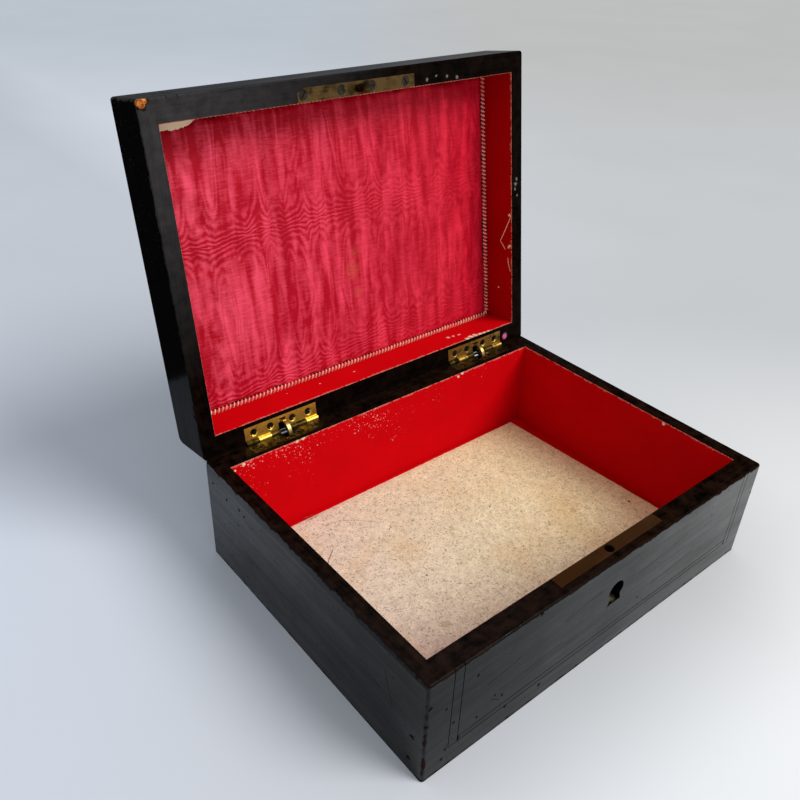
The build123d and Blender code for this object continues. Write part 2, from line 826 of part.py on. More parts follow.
def build_base():
    """Everything that stays put."""
    base = {}
    carcass = boards(base_ring(), (-over, base_height + over))
    strings = base_strings()
    starts = (left_hinge, right_hinge)
    lock_cuts = at_lock(lock_mortise() + [escutcheon_opening()])
    base["base_front_board"] = cut(carcass["front"], lock_cuts + string_grooves(strings))
    hinge_cuts = sum([leaf_mortise(start, True) for start in starts], [])
    base["base_back_board"] = cut(carcass["back"], hinge_cuts)
    base["base_left_board"] = carcass["left"]
    base["base_right_board"] = carcass["right"]
    base["base_bottom_board"] = inner_hollow((0, bottom_thickness))
    for name, piece in string_pieces(strings, base_form()).items():
        base[f"base_string_{name}"] = piece
    for side, sheet in base_papers().items():
        base[f"base_{side}_paper"] = sheet
    card_top = floor_seat + card_thickness
    base["floor_card"] = prism(floor_outline(), (floor_seat, card_top))
    base["floor_cloth"] = prism(floor_outline(), (card_top, card_top + cloth_thickness))
    for side, start in zip(("left", "right"), starts):
        base[f"{side}_hinge_base_leaf"] = leaf(start, True)
        base[f"{side}_hinge_pin"] = hinge_pin(start)
    places = sum([leaf_screw_places(start, True) for start in starts], [])
    base["base_hinge_screws"] = group(screw_set(leaf_screw, places, base_leaf_slots))
    works = at_lock([lock_plate(), lock_case(), key_pin(), lock_spring()])
    base["lock_plate"], base["lock_case"], base["lock_key_pin"], base["lock_spring"] = works
    base["lock_guide_studs"] = group(at_lock(guide_studs()))
    base["lock_screws"] = group(at_lock(screw_set(lock_screw, lock_screw_places(), lock_slots)))
    return base


def build_lid():
    """Everything that swings, drawn shut."""
    lid = {}
    carcass = boards(lid_ring(), (lid_rim - over, lid_ceiling + over))
    strings = lid_strings()
    starts = (left_hinge, right_hinge)
    strike_cuts = at_lock(strike_mortise())
    lid["lid_front_board"] = cut(carcass["front"], strike_cuts + string_grooves(strings))
    hinge_cuts = sum([leaf_mortise(start, False) for start in starts], [])
    lid["lid_back_board"] = cut(carcass["back"], hinge_cuts + [plug_socket()])
    lid["lid_left_board"] = carcass["left"]
    lid["lid_right_board"] = carcass["right"]
    lid["lid_top_board"] = top_board()
    for name, piece in string_pieces(strings, lid_form()).items():
        lid[f"lid_string_{name}"] = piece
    for side, sheet in wall_paper((lid_rim + lining_drop, lid_ceiling), 0).items():
        lid[f"lid_{side}_paper"] = sheet
    lid["silk_panel"] = silk_panel()
    lid["silk_cord"] = silk_cord()
    for side, start in zip(("left", "right"), starts):
        lid[f"{side}_hinge_lid_leaf"] = leaf(start, False)
    places = sum([leaf_screw_places(start, False) for start in starts], [])
    lid["lid_hinge_screws"] = group(screw_set(leaf_screw, places, lid_leaf_slots))
    lid["strike_plate"], lid["strike_stud"] = at_lock([strike_plate(), strike_stud()])
    strike_set = screw_set(strike_screw, strike_screw_places(), strike_slots)
    lid["strike_screws"] = group(at_lock(strike_set))
    lid["rim_plug"] = rim_plug()
    return lid


def swing_open(piece):
    return piece.rotate(hinge_axis, -lid_open_angle)


def main():
    nodes = build_base()
    nodes.update({name: swing_open(piece) for name, piece in build_lid().items()})
    nodes["left_stop_arm"] = stop_arm(left_hinge)
    nodes["right_stop_arm"] = stop_arm(right_hinge)
    nodes["lock_bolt"], = at_lock([bolt()])
    os.makedirs("parts", exist_ok=True)
    for name, piece in nodes.items():
        export_step(piece, f"parts/{name}.step")
    print(len(nodes), "nodes written")


main()
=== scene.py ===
# %% [markdown]
# # An ebonised glove box with a silk-lined lid
# The real thing is a small box for gloves: fruitwood stained and polished black, walls lined with red
# paper, a felted card on the floor, and a pad of watered silk edged with gimp inside the lid. The CAD
# model already has each board, hinge leaf, screw and lock piece at its true size. This script adds what a
# CAD program leaves out: the polish and where it has worn off, the paper and its tears, felt, wadded
# silk, gimp and tarnish.

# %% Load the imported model
import json
import math

import bpy
import numpy as np
from mathutils import Matrix, Vector


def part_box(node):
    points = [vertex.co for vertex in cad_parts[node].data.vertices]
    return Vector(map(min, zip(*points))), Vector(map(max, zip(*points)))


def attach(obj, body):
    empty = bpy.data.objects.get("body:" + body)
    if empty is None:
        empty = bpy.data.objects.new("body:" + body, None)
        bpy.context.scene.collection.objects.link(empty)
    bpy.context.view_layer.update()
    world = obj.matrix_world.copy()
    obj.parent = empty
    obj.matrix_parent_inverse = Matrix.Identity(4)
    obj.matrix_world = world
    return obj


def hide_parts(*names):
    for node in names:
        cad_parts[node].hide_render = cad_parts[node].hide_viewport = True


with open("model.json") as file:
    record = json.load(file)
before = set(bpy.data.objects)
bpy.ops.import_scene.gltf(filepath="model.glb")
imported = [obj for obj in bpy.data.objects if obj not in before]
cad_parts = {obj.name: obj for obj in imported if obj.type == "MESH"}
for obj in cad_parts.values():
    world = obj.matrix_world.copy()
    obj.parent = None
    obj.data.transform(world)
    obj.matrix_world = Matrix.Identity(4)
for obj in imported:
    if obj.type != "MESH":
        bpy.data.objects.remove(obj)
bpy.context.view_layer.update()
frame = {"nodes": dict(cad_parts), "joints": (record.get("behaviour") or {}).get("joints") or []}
nodes = frame["nodes"]

# %% [markdown]
# ## Two frames of reference
# Everything is in metres, but a cabinet maker thinks in millimetres, so sizes are written as a number of
# MM. The lid rests open. Its lining is easier to lay out with the lid shut, and then to swing open with
# it. The hinge that the model carries says exactly how, so one matrix does both the pieces and the
# patterns painted on them.

# %% Millimetres, and the swing of the lid
MM = 0.001
hinge = next(joint for joint in frame["joints"] if joint["name"] == "lid_hinge")
pivot = Vector(hinge["pos_m"])
open_angle = math.radians(max(hinge["range_deg"]))
shut_to_open = Matrix.Translation(pivot) @ Matrix.Rotation(-open_angle, 4, "X") @ Matrix.Translation(-pivot)
open_to_shut = shut_to_open.inverted()


def shut_box(name):
    """Lowest and highest corner of a lid node, measured as if the lid were shut."""
    corners = np.array([open_to_shut @ vertex.co for vertex in nodes[name].data.vertices])
    return Vector(corners.min(0)), Vector(corners.max(0))


print("lid opens by", round(math.degrees(open_angle), 1), "degrees")

# %% [markdown]
# ## Camera
# The camera is held in the hand, at the front left and a little above. The lens is a moderate wide angle,
# 37 mm on a 36 mm sensor, and the small roll is the tilt of the hand. The Standard view keeps colours as
# they are written.

# %% Place the camera
camera_data = bpy.data.cameras.new("camera")
sensor_mm, lens_mm = 36.0, 37.17
camera_data.sensor_width = sensor_mm
camera_data.lens = lens_mm
camera = bpy.data.objects.new("camera", camera_data)
camera.location = Vector((-289.6, -257.7, 355.3)) * MM
camera.rotation_euler = [math.radians(angle) for angle in (57.215, -2.015, -39.244)]
bpy.context.scene.collection.objects.link(camera)
bpy.context.scene.camera = camera
bpy.context.scene.view_settings.view_transform = "Standard"
print("camera", round((camera.location - Vector((0, 0, 0.1))).length, 3), "m from the box")

# %% [markdown]
# ## Colours and shader nodes
# A colour picked from a swatch is sRGB, and shaders work in linear light, so one function turns one into
# the other. One more function adds a node. Its keywords are the node's own settings. Its sockets are
# filled in order by a list, or by name by a dictionary, with a number, a hex colour, another node, or one
# of another node's outputs. A pattern also has to know where a point is on the object. Object coordinates
# say it, which here are the box's own frame, and for the lid they are turned back by the hinge's angle,
# as if the lid were shut.

# %% Two helpers for shader nodes
def linear(hex_colour):
    """sRGB hex, such as '#c8102e', as linear RGBA."""
    channels = [int(hex_colour[i:i + 2], 16) / 255 for i in (1, 3, 5)]
    return [c / 12.92 if c <= 0.04045 else ((c + 0.055) / 1.055) ** 2.4 for c in channels] + [1.0]


def add(tree, kind, sockets=(), **settings):
    """Add a shader node with its settings, and fill its sockets: a list in order, a dictionary by name."""
    node = tree.nodes.new("ShaderNode" + kind)
    for name, value in settings.items():
        setattr(node, name, value)
    shown = [socket for socket in node.inputs if socket.enabled]
    if isinstance(sockets, dict):
        named = {socket.name: socket for socket in shown}
        shown = [named[name] for name in sockets]
        sockets = sockets.values()
    for socket, value in zip(shown, sockets):
        if isinstance(value, bpy.types.Node):
            value = next(output for output in value.outputs if output.enabled)
        if isinstance(value, bpy.types.NodeSocket):
            tree.links.new(value, socket)
        else:
            socket.default_value = linear(value) if isinstance(value, str) else value
    return node


# %% Materials and pieces
def new_material(name, on_lid=False):
    """Node material, its tree, and the place of a point: on the lid it is the place with the lid shut."""
    material = bpy.data.materials.new(name)
    material.use_nodes = True
    tree = material.node_tree
    tree.nodes.clear()
    place = add(tree, "TexCoord").outputs["Object"]
    if on_lid:
        shift, turn = open_to_shut.to_translation(), open_to_shut.to_euler()
        place = add(tree, "Mapping", {"Vector": place, "Location": shift, "Rotation": turn}).outputs["Vector"]
    return material, tree, place


def dress(material, *names):
    """Give a material to CAD nodes."""
    for name in names:
        slots = nodes[name].data.materials
        for i in range(len(slots)):
            slots[i] = material
        if not slots:
            slots.append(material)


def new_piece(name, points, faces, material):
    """Smooth mesh object from points in metres."""
    mesh = bpy.data.meshes.new(name)
    mesh.from_pydata([tuple(point) for point in points], [], faces)
    mesh.validate()
    mesh.materials.append(material)
    for polygon in mesh.polygons:
        polygon.use_smooth = True
    piece = bpy.data.objects.new(name, mesh)
    bpy.context.scene.collection.objects.link(piece)
    return piece


print("helpers ready")

# %% [markdown]
# ## Floor
# The box stands on a sheet of pale paper that would be bent up behind it. A flat square does for it: near
# the box the paper is almost white, and painted shade makes it bluer away from the window and grey where
# the bend would be. A very soft, large noise keeps it from looking like a computer's plane.

# %% Paper sweep
reach, under = 3.0, -0.3 * MM
rightward, backward = (0.775, -0.63, 0.0), (0.63, 0.775, 0.0)
corners = [(-reach, -reach, under), (reach, -reach, under), (reach, reach, under), (-reach, reach, under)]
paper_sweep, tree, place = new_material("matt_paper_sweep")
aside, away = [add(tree, "VectorMath", [place, heading], operation="DOT_PRODUCT").outputs["Value"]
               for heading in (rightward, backward)]
# Painted shade: the paper is bluer on the side away from the window, and grey where the bend would be and
# beyond it.
toward_window = add(tree, "MapRange", [aside, -0.4, 0.3], interpolation_type="SMOOTHSTEP")
colour, bend, far = [add(tree, "Mix", [toward_window, *pair], data_type="RGBA") for pair in (
    ("#ebf2fd", "#f8f7f3"), ("#dde1e8", "#d0d1d0"), ("#c3c9cf", "#c6c5c1"))]
for starts, ends, shade in ((-0.05, 0.36, bend), (0.5, 1.8, far)):
    step = add(tree, "MapRange", [away, starts, ends], interpolation_type="SMOOTHSTEP")
    colour = add(tree, "Mix", [step, colour, shade], data_type="RGBA")
cloud = add(tree, "TexNoise", {"Vector": place, "Scale": 5.0, "Detail": 2.0})
cloudy = add(tree, "MapRange", [cloud, 0.3, 0.7, 0.97, 1.0])
# The room's own shade round the foot of the box is deeper than one lamp gives, so the paper is darker there.
parts = add(tree, "SeparateXYZ", [place]).outputs
shaded = add(tree, "MapRange", [parts["X"], 0.08, 0.22, 0.76, 0.92])
foot = add(tree, "MapRange", [parts["Y"], -0.2, -0.1, 1.0, shaded], interpolation_type="SMOOTHSTEP")
for share in (cloudy, foot):
    colour = add(tree, "VectorMath", [colour, share], operation="SCALE")
shader = add(tree, "BsdfPrincipled", {"Base Color": colour, "Roughness": 0.9, "Specular IOR Level": 0.0})
add(tree, "OutputMaterial", {"Surface": shader})
floor = new_piece("floor", corners, [(0, 1, 2, 3)], paper_sweep)
print("floor", 2 * reach, "m across")

# %% [markdown]
# ## Light
# Soft daylight: one lamp, as wide as a near window in the sky, stands at the front right, and the world
# is the white room. The polish is a black mirror, so what stands outside the picture matters as much as
# the lamp. Dark corners of that room show in it, and three black cards that only reflections see stand
# for them: one to the left, one on the floor in front, and one high behind, which the rims of the base
# mirror.

# %% World and window
world = bpy.data.worlds.new("white_room")
world.use_nodes = True
room = world.node_tree.nodes["Background"]
room_white, room_strength = "#e9eef6", 0.66
room.inputs["Color"].default_value = linear(room_white)
room.inputs["Strength"].default_value = room_strength
bpy.context.scene.world = world
window_data = bpy.data.lights.new("window", "SUN")
window_width, window_strength = math.radians(31), 2.08
window_data.angle = window_width
window_data.energy = window_strength
window = bpy.data.objects.new("window", window_data)
window.location = (0.75, -1.15, 1.45)
box_middle = Vector((0, 0, 0.08))
window.rotation_euler = (box_middle - window.location).to_track_quat("-Z", "Y").to_euler()
bpy.context.scene.collection.objects.link(window)
print("window", window_data.energy, "W per square metre")


# %% Black cards
def black_card(name, corners):
    """Dark card that only glossy rays see."""
    material, tree, _ = new_material("black_cloth_" + name)
    black = {"Base Color": "#020202", "Roughness": 1.0, "Specular IOR Level": 0.0}
    shader = add(tree, "BsdfPrincipled", black)
    add(tree, "OutputMaterial", {"Surface": shader})
    card = new_piece(name, corners, [(0, 1, 2, 3)], material)
    card.visible_camera = card.visible_diffuse = card.visible_shadow = card.visible_transmission = False


black_card("left_card", [(-1.6, 0.36, 0.0), (-0.14, 0.29, 0.0), (-0.14, 0.29, 0.9), (-1.6, 0.36, 0.9)])
black_card("front_card", [(-0.6, -1.1, 0.002), (1.0, -1.1, 0.002), (1.0, -0.3, 0.002), (-0.6, -0.3, 0.002)])
black_card("high_card", [(2.0, -0.5, 0.7), (0.0, 1.9, 0.7), (0.0, 1.9, 2.6), (2.0, -0.5, 2.6)])
print("three cards")

# %% [markdown]
# ## Where things are on the wood
# The wood's pattern follows the box: grain along each board, wear along the arrises, and dull rims. The
# wear is measured from the nearest arris, which is where two faces of the box meet. Single marks are
# given by their place in millimetres, and a noise frays their outlines.

# %% Sizes of the box, and the way to its arrises
base_low, base_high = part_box("base_front_board")
base_height = base_high.z
half_width, half_depth = base_high.x, -base_low.y
lid_top = shut_box("lid_top_board")[1].z
lid_rim = shut_box("lid_front_board")[0].z


def arris_distance(tree, place, bottom, top):
    """Distance from the nearest outer arris: the second smallest distance to a face of the box."""
    middle = Vector((0, 0, (bottom + top) / 2))
    half = Vector((half_width, half_depth, (top - bottom) / 2))
    centred = add(tree, "VectorMath", [place, middle], operation="SUBTRACT")
    outward = add(tree, "VectorMath", [centred], operation="ABSOLUTE")
    inside = add(tree, "VectorMath", [half, outward], operation="SUBTRACT")
    parts = add(tree, "SeparateXYZ", [inside]).outputs
    low, high = [add(tree, "Math", [parts["X"], parts["Y"]], operation=pick)
                 for pick in ("MINIMUM", "MAXIMUM")]
    second = add(tree, "Math", [low, parts["Z"]], operation="MAXIMUM")
    return add(tree, "Math", [high, second], operation="MINIMUM")


# %% Masks for single marks
def spots(tree, place, marks, rough=0.5):
    """Mask of small marks: each is a centre and a radius in millimetres. rough is a noise that frays them."""
    whole = 0.0
    for x, y, z, radius in marks:
        centre = (x * MM, y * MM, z * MM)
        away = add(tree, "VectorMath", [place, centre], operation="DISTANCE").outputs["Value"]
        frayed = add(tree, "Math", [rough, 2 * radius * MM, away], operation="MULTIPLY_ADD")
        spot = add(tree, "MapRange", [frayed, 1.8 * radius * MM, 2.1 * radius * MM, 1.0, 0.0])
        whole = add(tree, "Math", [whole, spot], operation="MAXIMUM")
    return whole


def scratches(tree, place, runs, width):
    """Mask of straight scratches: each run is two ends in millimetres."""
    whole = 0.0
    for start, end in runs:
        a, b = Vector(start) * MM, Vector(end) * MM
        unit = (b - a).normalized()
        offset = add(tree, "VectorMath", [place, a], operation="SUBTRACT")
        along = add(tree, "VectorMath", [offset, unit], operation="DOT_PRODUCT").outputs["Value"]
        held = add(tree, "Math", [along, (b - a).length], operation="MINIMUM")
        held = add(tree, "Math", [held, 0.0], operation="MAXIMUM")
        foot = add(tree, "VectorMath", [unit, held], operation="SCALE")
        away = add(tree, "VectorMath", [offset, foot], operation="DISTANCE").outputs["Value"]
        line = add(tree, "MapRange", [away, 0.4 * width, width, 1.0, 0.0])
        whole = add(tree, "Math", [whole, line], operation="MAXIMUM")
    return whole


size_mm = [round(size / MM) for size in (2 * half_width, 2 * half_depth, base_height)]
print("box", size_mm[0], "by", size_mm[1], "mm, its base", size_mm[2], "mm high")

# %% [markdown]
# ## Ebonised wood
# Ebonised means a close fruitwood stained black and French polished. Shellac is clear, with an IOR of
# about 1.5, and the black under it reflects almost nothing, so such wood is seen by its gloss alone. That
# is why the polish is the shader's coat here, over a matt brown-black wood: where hands have rubbed it
# off the rims and arrises, the coat's weight falls and the dry wood shows, and no second material is
# needed. Grain is noise drawn out along the board: pores about a millimetre wide, and a figure ten times
# as wide. Bare wood shows in a chip at the lid's corner and in the opening that the lost escutcheon
# leaves.

# %% Marks on the polish, in millimetres
# A chip on the left or front face has two places and a radius. One on the lid has three, the last of them up
# from the rim, and a radius. A scratch is straight, from one place to another.
left_x, front_y, rim_mm = -130, -97.5, lid_rim / MM
base_chips = [(left_x, y, z, radius) for y, z, radius in (
    (89.7, 57.1, 0.9), (74.0, 55.1, 1.1), (60.5, 57.0, 1.0), (55.3, 55.5, 0.9), (-89.2, 25.3, 1.6),
    (-87.5, 8.3, 1.4), (-82.9, 67.5, 1.4), (-85.3, 67.0, 1.1), (-89.5, 66.5, 1.4))]
base_chips += [(x, front_y, z, radius) for x, z, radius in (
    (-85.8, 28.0, 0.8), (24.5, 23.4, 0.7), (-116.4, 13.7, 0.9), (-118.4, 7.9, 1.1), (111.8, 67.5, 1.9),
    (87.0, 66.2, 1.6), (128.8, 46.5, 1.4), (-118.0, 44.0, 0.8), (-112.6, 30.0, 0.9), (-108.0, 15.0, 0.8),
    (-97.0, 21.0, 0.8), (-80.5, 24.0, 0.9), (-77.0, 12.5, 1.0), (-99.5, 52.5, 1.0), (-52.0, 9.5, 1.1),
    (-73.6, 0.6, 1.6), (-128.0, 52.0, 1.3), (-129.5, 40.0, 1.5), (-60.0, 66.0, 1.3))]
base_scratches = [((left_x, *start), (left_x, *end)) for start, end in (
    ((58, 28.5), (34, 26.0)), ((34, 26.0), (10, 27.5)), ((10, 27.5), (-4, 25.0)),
    ((-68.5, 50.8), (-74.4, 32.3)))]
base_scratches += [((x, front_y, z), (end_x, front_y, end_z)) for x, z, end_x, end_z in (
    (-40, 47.0, -12, 50.5), (20, 44.0, 62, 49.0), (-115.8, 17.5, -115.8, 11.0), (-92, 40.0, -70, 43.5),
    (-88, 26.5, -82, 22.0), (-66, 30.0, -38, 31.5), (36, 27.0, 74, 30.5))]
lid_chips, lid_scars, lid_corner_bare = [
    [(x, y, rim_mm + up, radius) for x, y, up, radius in marks] for marks in (
    ((-90.4, -90.5, 0, 0.7), (-86.6, -90.0, 0, 0.9), (-76.7, -88.4, 0, 1.1), (-72.0, -88.8, 0, 0.6),
     (-67.9, -88.8, 0, 0.6), (-111.0, front_y, 0, 1.3), (122.4, -17.2, 0, 1.2), (left_x, 20.0, 1, 1.4),
     (left_x, 70.0, 2, 1.6)),
    ((49.1, -88.0, 0, 1.0), (56.3, -89.5, 0, 0.8), (65.0, -88.6, 0, 0.8), (73.1, -87.3, 0, 1.0),
     (123.8, -14.3, 0, 1.2), (124.8, -17.5, 0, 0.9), (123.3, -11.1, 0, 0.8), (125.3, -6.6, 0, 0.7)),
    ((-128.6, -96.4, 0, 2.4), (-127.6, -95.2, 0, 2.0), (-126.2, -96.6, 0, 1.7)))]
keyhole_bare = [(-3.4, -93.2, 34.7, 3.8), (1.6, -93.2, 34.7, 3.8)]
print(len(base_chips) + len(lid_chips), "chips and", len(base_scratches), "scratches")


# %% Polish: where it is and where it has gone
# Each kind of wear is whole at the first distance and gone at the second, once the fray is taken off.
fray_depth, rim_wear, arris_wear = 6.0 * MM, (-2.2 * MM, -1.3 * MM), (-2.6 * MM, -1.9 * MM)
rim_dullness, dent_levels = (0.25 * MM, 0.8 * MM), (0.67, 0.73)


def worn_places(tree, place, on_lid, chips, ragged):
    """Masks of dry wood: along the arrises, over the rims, and at the chips."""
    bottom, top = (lid_rim, lid_top) if on_lid else (0.0, base_height)
    height = add(tree, "SeparateXYZ", [place]).outputs["Z"]
    from_rim = add(tree, "Math", [height, bottom] if on_lid else [top, height], operation="SUBTRACT")
    fray = add(tree, "Math", [ragged, -fray_depth], operation="MULTIPLY")
    near_rim = add(tree, "Math", [from_rim, fray], operation="ADD")
    edge = add(tree, "Math", [arris_distance(tree, place, bottom, top), fray], operation="ADD")
    worn = add(tree, "MapRange", [near_rim, *rim_wear, 1.0, 0.0])
    rubbed = add(tree, "MapRange", [edge, *arris_wear, 1.0, 0.0])
    crumbs = add(tree, "TexNoise", {"Vector": place, "Scale": 1 / (1.6 * MM), "Detail": 3.0})
    # A scatter of tiny dents lies over all of it.
    dents = add(tree, "MapRange", [crumbs, *dent_levels])
    for mask in (rubbed, spots(tree, place, chips, crumbs), dents):
        worn = add(tree, "Math", [worn, mask], operation="MAXIMUM")
    rim = add(tree, "MapRange", [from_rim, *rim_dullness, 1.0, 0.0])
    return worn, rim


# %% Ebonised pear, French polished
scratch_width, scratch_depth = 0.35 * MM, 0.6
polish_at_corner, polish_elsewhere, lid_share = 0.41, 1.04, 0.25


def ebonised_pear(name, on_lid, grain, chips, cuts, bare=(), bare_colours=("#7a340c", "#e09048"), scars=()):
    """Black polished wood. grain is the axis that it runs along, X or Y, with the lid shut."""
    material, tree, place = new_material(name, on_lid)
    drawn_out = (0.05, 1.0, 1.0) if grain == "X" else (1.0, 0.05, 1.0)
    along = add(tree, "Mapping", {"Vector": place, "Scale": drawn_out})
    pores, figure, ragged, patches, crumbs, streaks = [
        add(tree, "TexNoise", {"Vector": at, "Scale": 1 / (size * MM), "Detail": detail, "Roughness": rough})
        for at, size, detail, rough in (
            (along, 1.0, 3.0, 0.5), (along, 9, 5.0, 0.5), (place, 6, 6.0, 0.62), (place, 30, 5.0, 0.6),
            (place, 1.2, 2.0, 0.5), (along, 3, 4.0, 0.6))]
    worn, rim = worn_places(tree, place, on_lid, chips, ragged)
    off = add(tree, "Math", [worn, rim], operation="MAXIMUM")
    # The dry wood is greyer near the front left corner, far more on the lid than on the base.
    corner = (-half_width, -half_depth, base_height)
    from_corner = add(tree, "VectorMath", [place, corner], operation="DISTANCE").outputs["Value"]
    grain_and_wear = add(tree, "Math", [pores, 0.4, ragged], operation="MULTIPLY_ADD")
    browns = add(tree, "MapRange", [grain_and_wear, 0.55, 0.85])
    dry = add(tree, "Mix", [browns, "#040302", "#140b07" if on_lid else "#20120b"], data_type="RGBA")
    grey = add(tree, "MapRange", [from_corner, 0.03, 0.15, 1.0 if on_lid else 0.1, 0.0])
    grey = add(tree, "Math", [grey, grain_and_wear], operation="MULTIPLY")
    dry = add(tree, "Mix", [grey, dry, "#3c3a3a"], data_type="RGBA")
    # Where it has split, crumbly bare wood shows inside a dark line.
    opened = spots(tree, place, bare, crumbs)
    torn_round = spots(tree, place, [(x, y, z, 1.35 * radius) for x, y, z, radius in bare], crumbs)
    crumbly = add(tree, "MapRange", [crumbs, 0.38, 0.62])
    fresh = add(tree, "Mix", [crumbly, *bare_colours], data_type="RGBA")
    scarred = spots(tree, place, scars, crumbs)
    colour = add(tree, "Mix", [figure, "#050505", "#0d0c0b"], data_type="RGBA")
    for mask, shade in ((off, dry), (torn_round, "#080302"), (opened, fresh), (scarred, "#68645c")):
        colour = add(tree, "Mix", [mask, colour, shade], data_type="RGBA")
    # The polish that is left is least near that corner, less in patches and streaks, and hardly any on rims.
    kept = add(tree, "MapRange", [from_corner, 0.0, 0.24, polish_at_corner, polish_elsewhere])
    patchy = add(tree, "MapRange", [patches, 0.3, 0.7, 1.1, 0.85])
    streaky = add(tree, "MapRange", [streaks, 0.35, 0.65, 0.87, 1.09])
    for share in (lid_share if on_lid else 1.0, patchy, streaky):
        kept = add(tree, "Math", [kept, share], operation="MULTIPLY")
    on_rim = add(tree, "MapRange", [ragged, 0.35, 0.65, 0.2, 0.0])
    kept = add(tree, "Mix", [rim, kept, on_rim], data_type="FLOAT")
    scratched = scratches(tree, place, cuts, scratch_width)
    scratched = add(tree, "Math", [scratched, scratch_depth], operation="MULTIPLY")
    gone = add(tree, "Math", [worn, opened], operation="MAXIMUM")
    gone = add(tree, "Math", [gone, scratched], operation="MAXIMUM")
    kept = add(tree, "Mix", [gone, kept, 0.04], data_type="FLOAT")
    rough = add(tree, "Math", [ragged, off], operation="MULTIPLY")
    depth = 0.0
    for height, weight in ((pores, 0.6), (gone, -0.7), (rough, 1.6)):
        depth = add(tree, "Math", [height, weight, depth], operation="MULTIPLY_ADD")
    bump = add(tree, "Bump", {"Height": depth, "Strength": 0.4, "Distance": 0.2 * MM})
    waves = add(tree, "Bump", {"Height": patches, "Strength": 0.25, "Distance": 0.5 * MM})
    shader = add(tree, "BsdfPrincipled", {
        "Base Color": colour, "Roughness": 0.55, "IOR": 1.5, "Specular IOR Level": 0.0, "Normal": bump,
        "Coat Weight": kept, "Coat Roughness": 0.12, "Coat IOR": 1.5, "Coat Normal": waves,
    })
    add(tree, "OutputMaterial", {"Surface": shader})
    return material


# %% Dress the boards and strings
# Bare wood in the escutcheon's opening: greyer and darker than the chip's, partly its own colour and partly
# painted shade in the opening.
keyhole_wood_shaded = ("#2c2319", "#6c614c")
for side, on_lid, marks, split, scars in (
        ("base", False, (base_chips, base_scratches), (keyhole_bare, keyhole_wood_shaded), ()),
        ("lid", True, (lid_chips, (), lid_corner_bare), (), lid_scars)):
    name = "ebonised_pear_polished_" + side
    long_wood = ebonised_pear(name + "_long", on_lid, "X", *marks, *split, scars=scars)
    short_wood = ebonised_pear(name + "_short", on_lid, "Y", *marks, scars=scars)
    strings = [node for node in nodes if node.startswith(side) and "_string_" in node]
    dress(long_wood, side + "_front_board", side + "_back_board", *strings)
    dress(short_wood, side + "_left_board", side + "_right_board")
dress(long_wood, "lid_top_board")
print("8 boards and a top dressed, with", len(strings), "strings on the lid")

# %% [markdown]
# ## Painted shade in the joint
# Where lid and base meet at the back, the boards nearly touch and what lies behind them is in shade, so
# no daylight should come through the crack. A dark thread a fifth of a millimetre thick, painted shade,
# lies on the hinge's axis, where nothing turns, between the hinges.

# %% Fill the crack
gap_radius = 0.09 * MM
leaf_boxes = [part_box(side + "_hinge_base_leaf") for side in ("left", "right")]
stops = [-half_width, *[corner.x for leaf_box in leaf_boxes for corner in leaf_box], half_width]
sides = 6
turns = [2 * math.pi * k / sides for k in range(sides)]
ring = [(gap_radius * math.cos(turn), gap_radius * math.sin(turn)) for turn in turns]
gap_shade_points, gap_shade_faces = [], []
for start, end in zip(stops[::2], stops[1::2]):
    first = len(gap_shade_points)
    gap_shade_points += [(x, pivot.y + y, pivot.z + z) for x in (start, end) for y, z in ring]
    for k in range(sides):
        near, ahead = first + k, first + (k + 1) % sides
        gap_shade_faces.append((near, ahead, ahead + sides, near + sides))
# Painted shade: the thread is dark so that the crack shows no light.
gap_shade_material, tree, place = new_material("gap_shade_dark_thread")
crumbs = add(tree, "TexNoise", {"Vector": place, "Scale": 1 / (1.5 * MM), "Detail": 3.0})
colour = add(tree, "Mix", [crumbs, "#050403", "#1c1510"], data_type="RGBA")
shader = add(tree, "BsdfPrincipled", {"Base Color": colour, "Roughness": 0.9, "Specular IOR Level": 0.0})
add(tree, "OutputMaterial", {"Surface": shader})
dirt_and_gap_shade = new_piece("joint_gap_shade", gap_shade_points, gap_shade_faces, gap_shade_material)
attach(dirt_and_gap_shade, "base")
print("joint filled between the hinges")

# %% [markdown]
# ## Underside
# Nobody polishes the bottom of a box. It is a softwood board with a thin brown stain, matt and open in
# the grain: broad growth lines along the board, and grey dirt where it has stood.

# %% Stained pine, planed
stained_pine, tree, place = new_material("stained_pine_planed")
along = add(tree, "Mapping", {"Vector": place, "Scale": (0.05, 1.0, 1.0)})
growth = add(tree, "TexNoise", {"Vector": along, "Scale": 1 / (6 * MM), "Detail": 5.0, "Distortion": 0.6})
dirt_and_gap_shade = add(tree, "TexNoise", {"Vector": place, "Scale": 1 / (30 * MM), "Detail": 6.0})
lines = add(tree, "MapRange", [growth, 0.35, 0.65])
dirty = add(tree, "MapRange", [dirt_and_gap_shade, 0.5, 0.8])
colour = add(tree, "Mix", [lines, "#2a1c12", "#4a3423"], data_type="RGBA")
colour = add(tree, "Mix", [dirty, colour, "#1c140f"], data_type="RGBA")
bump = add(tree, "Bump", {"Height": growth, "Strength": 0.4, "Distance": 0.2 * MM})
shader = add(tree, "BsdfPrincipled", {"Base Color": colour, "Roughness": 0.75, "Normal": bump})
add(tree, "OutputMaterial", {"Surface": shader})
dress(stained_pine, "base_bottom_board")
print("bottom board stained")

# %% [markdown]
# ## Red lining paper
# The walls are lined with surface paper: a coat of red size brushed on one side of a rag paper. It is
# quite matt. Where it was cut along the rim, and wherever something has knocked it, the coat has gone and
# the pale rag shows: a ragged pale line all along the edge, a scatter of flecks mostly high on the back
# wall, and a few torn places. All of these are masks of one shader, because the torn paper is too thin to
# have a shape of its own.

# %% Surface paper, brushed
curl_width, fray_height, cut_edge_wear = 0.4 * MM, 5.5 * MM, (-1.9 * MM, -1.3 * MM)
flake_start, flake_end = 1.14, 1.18


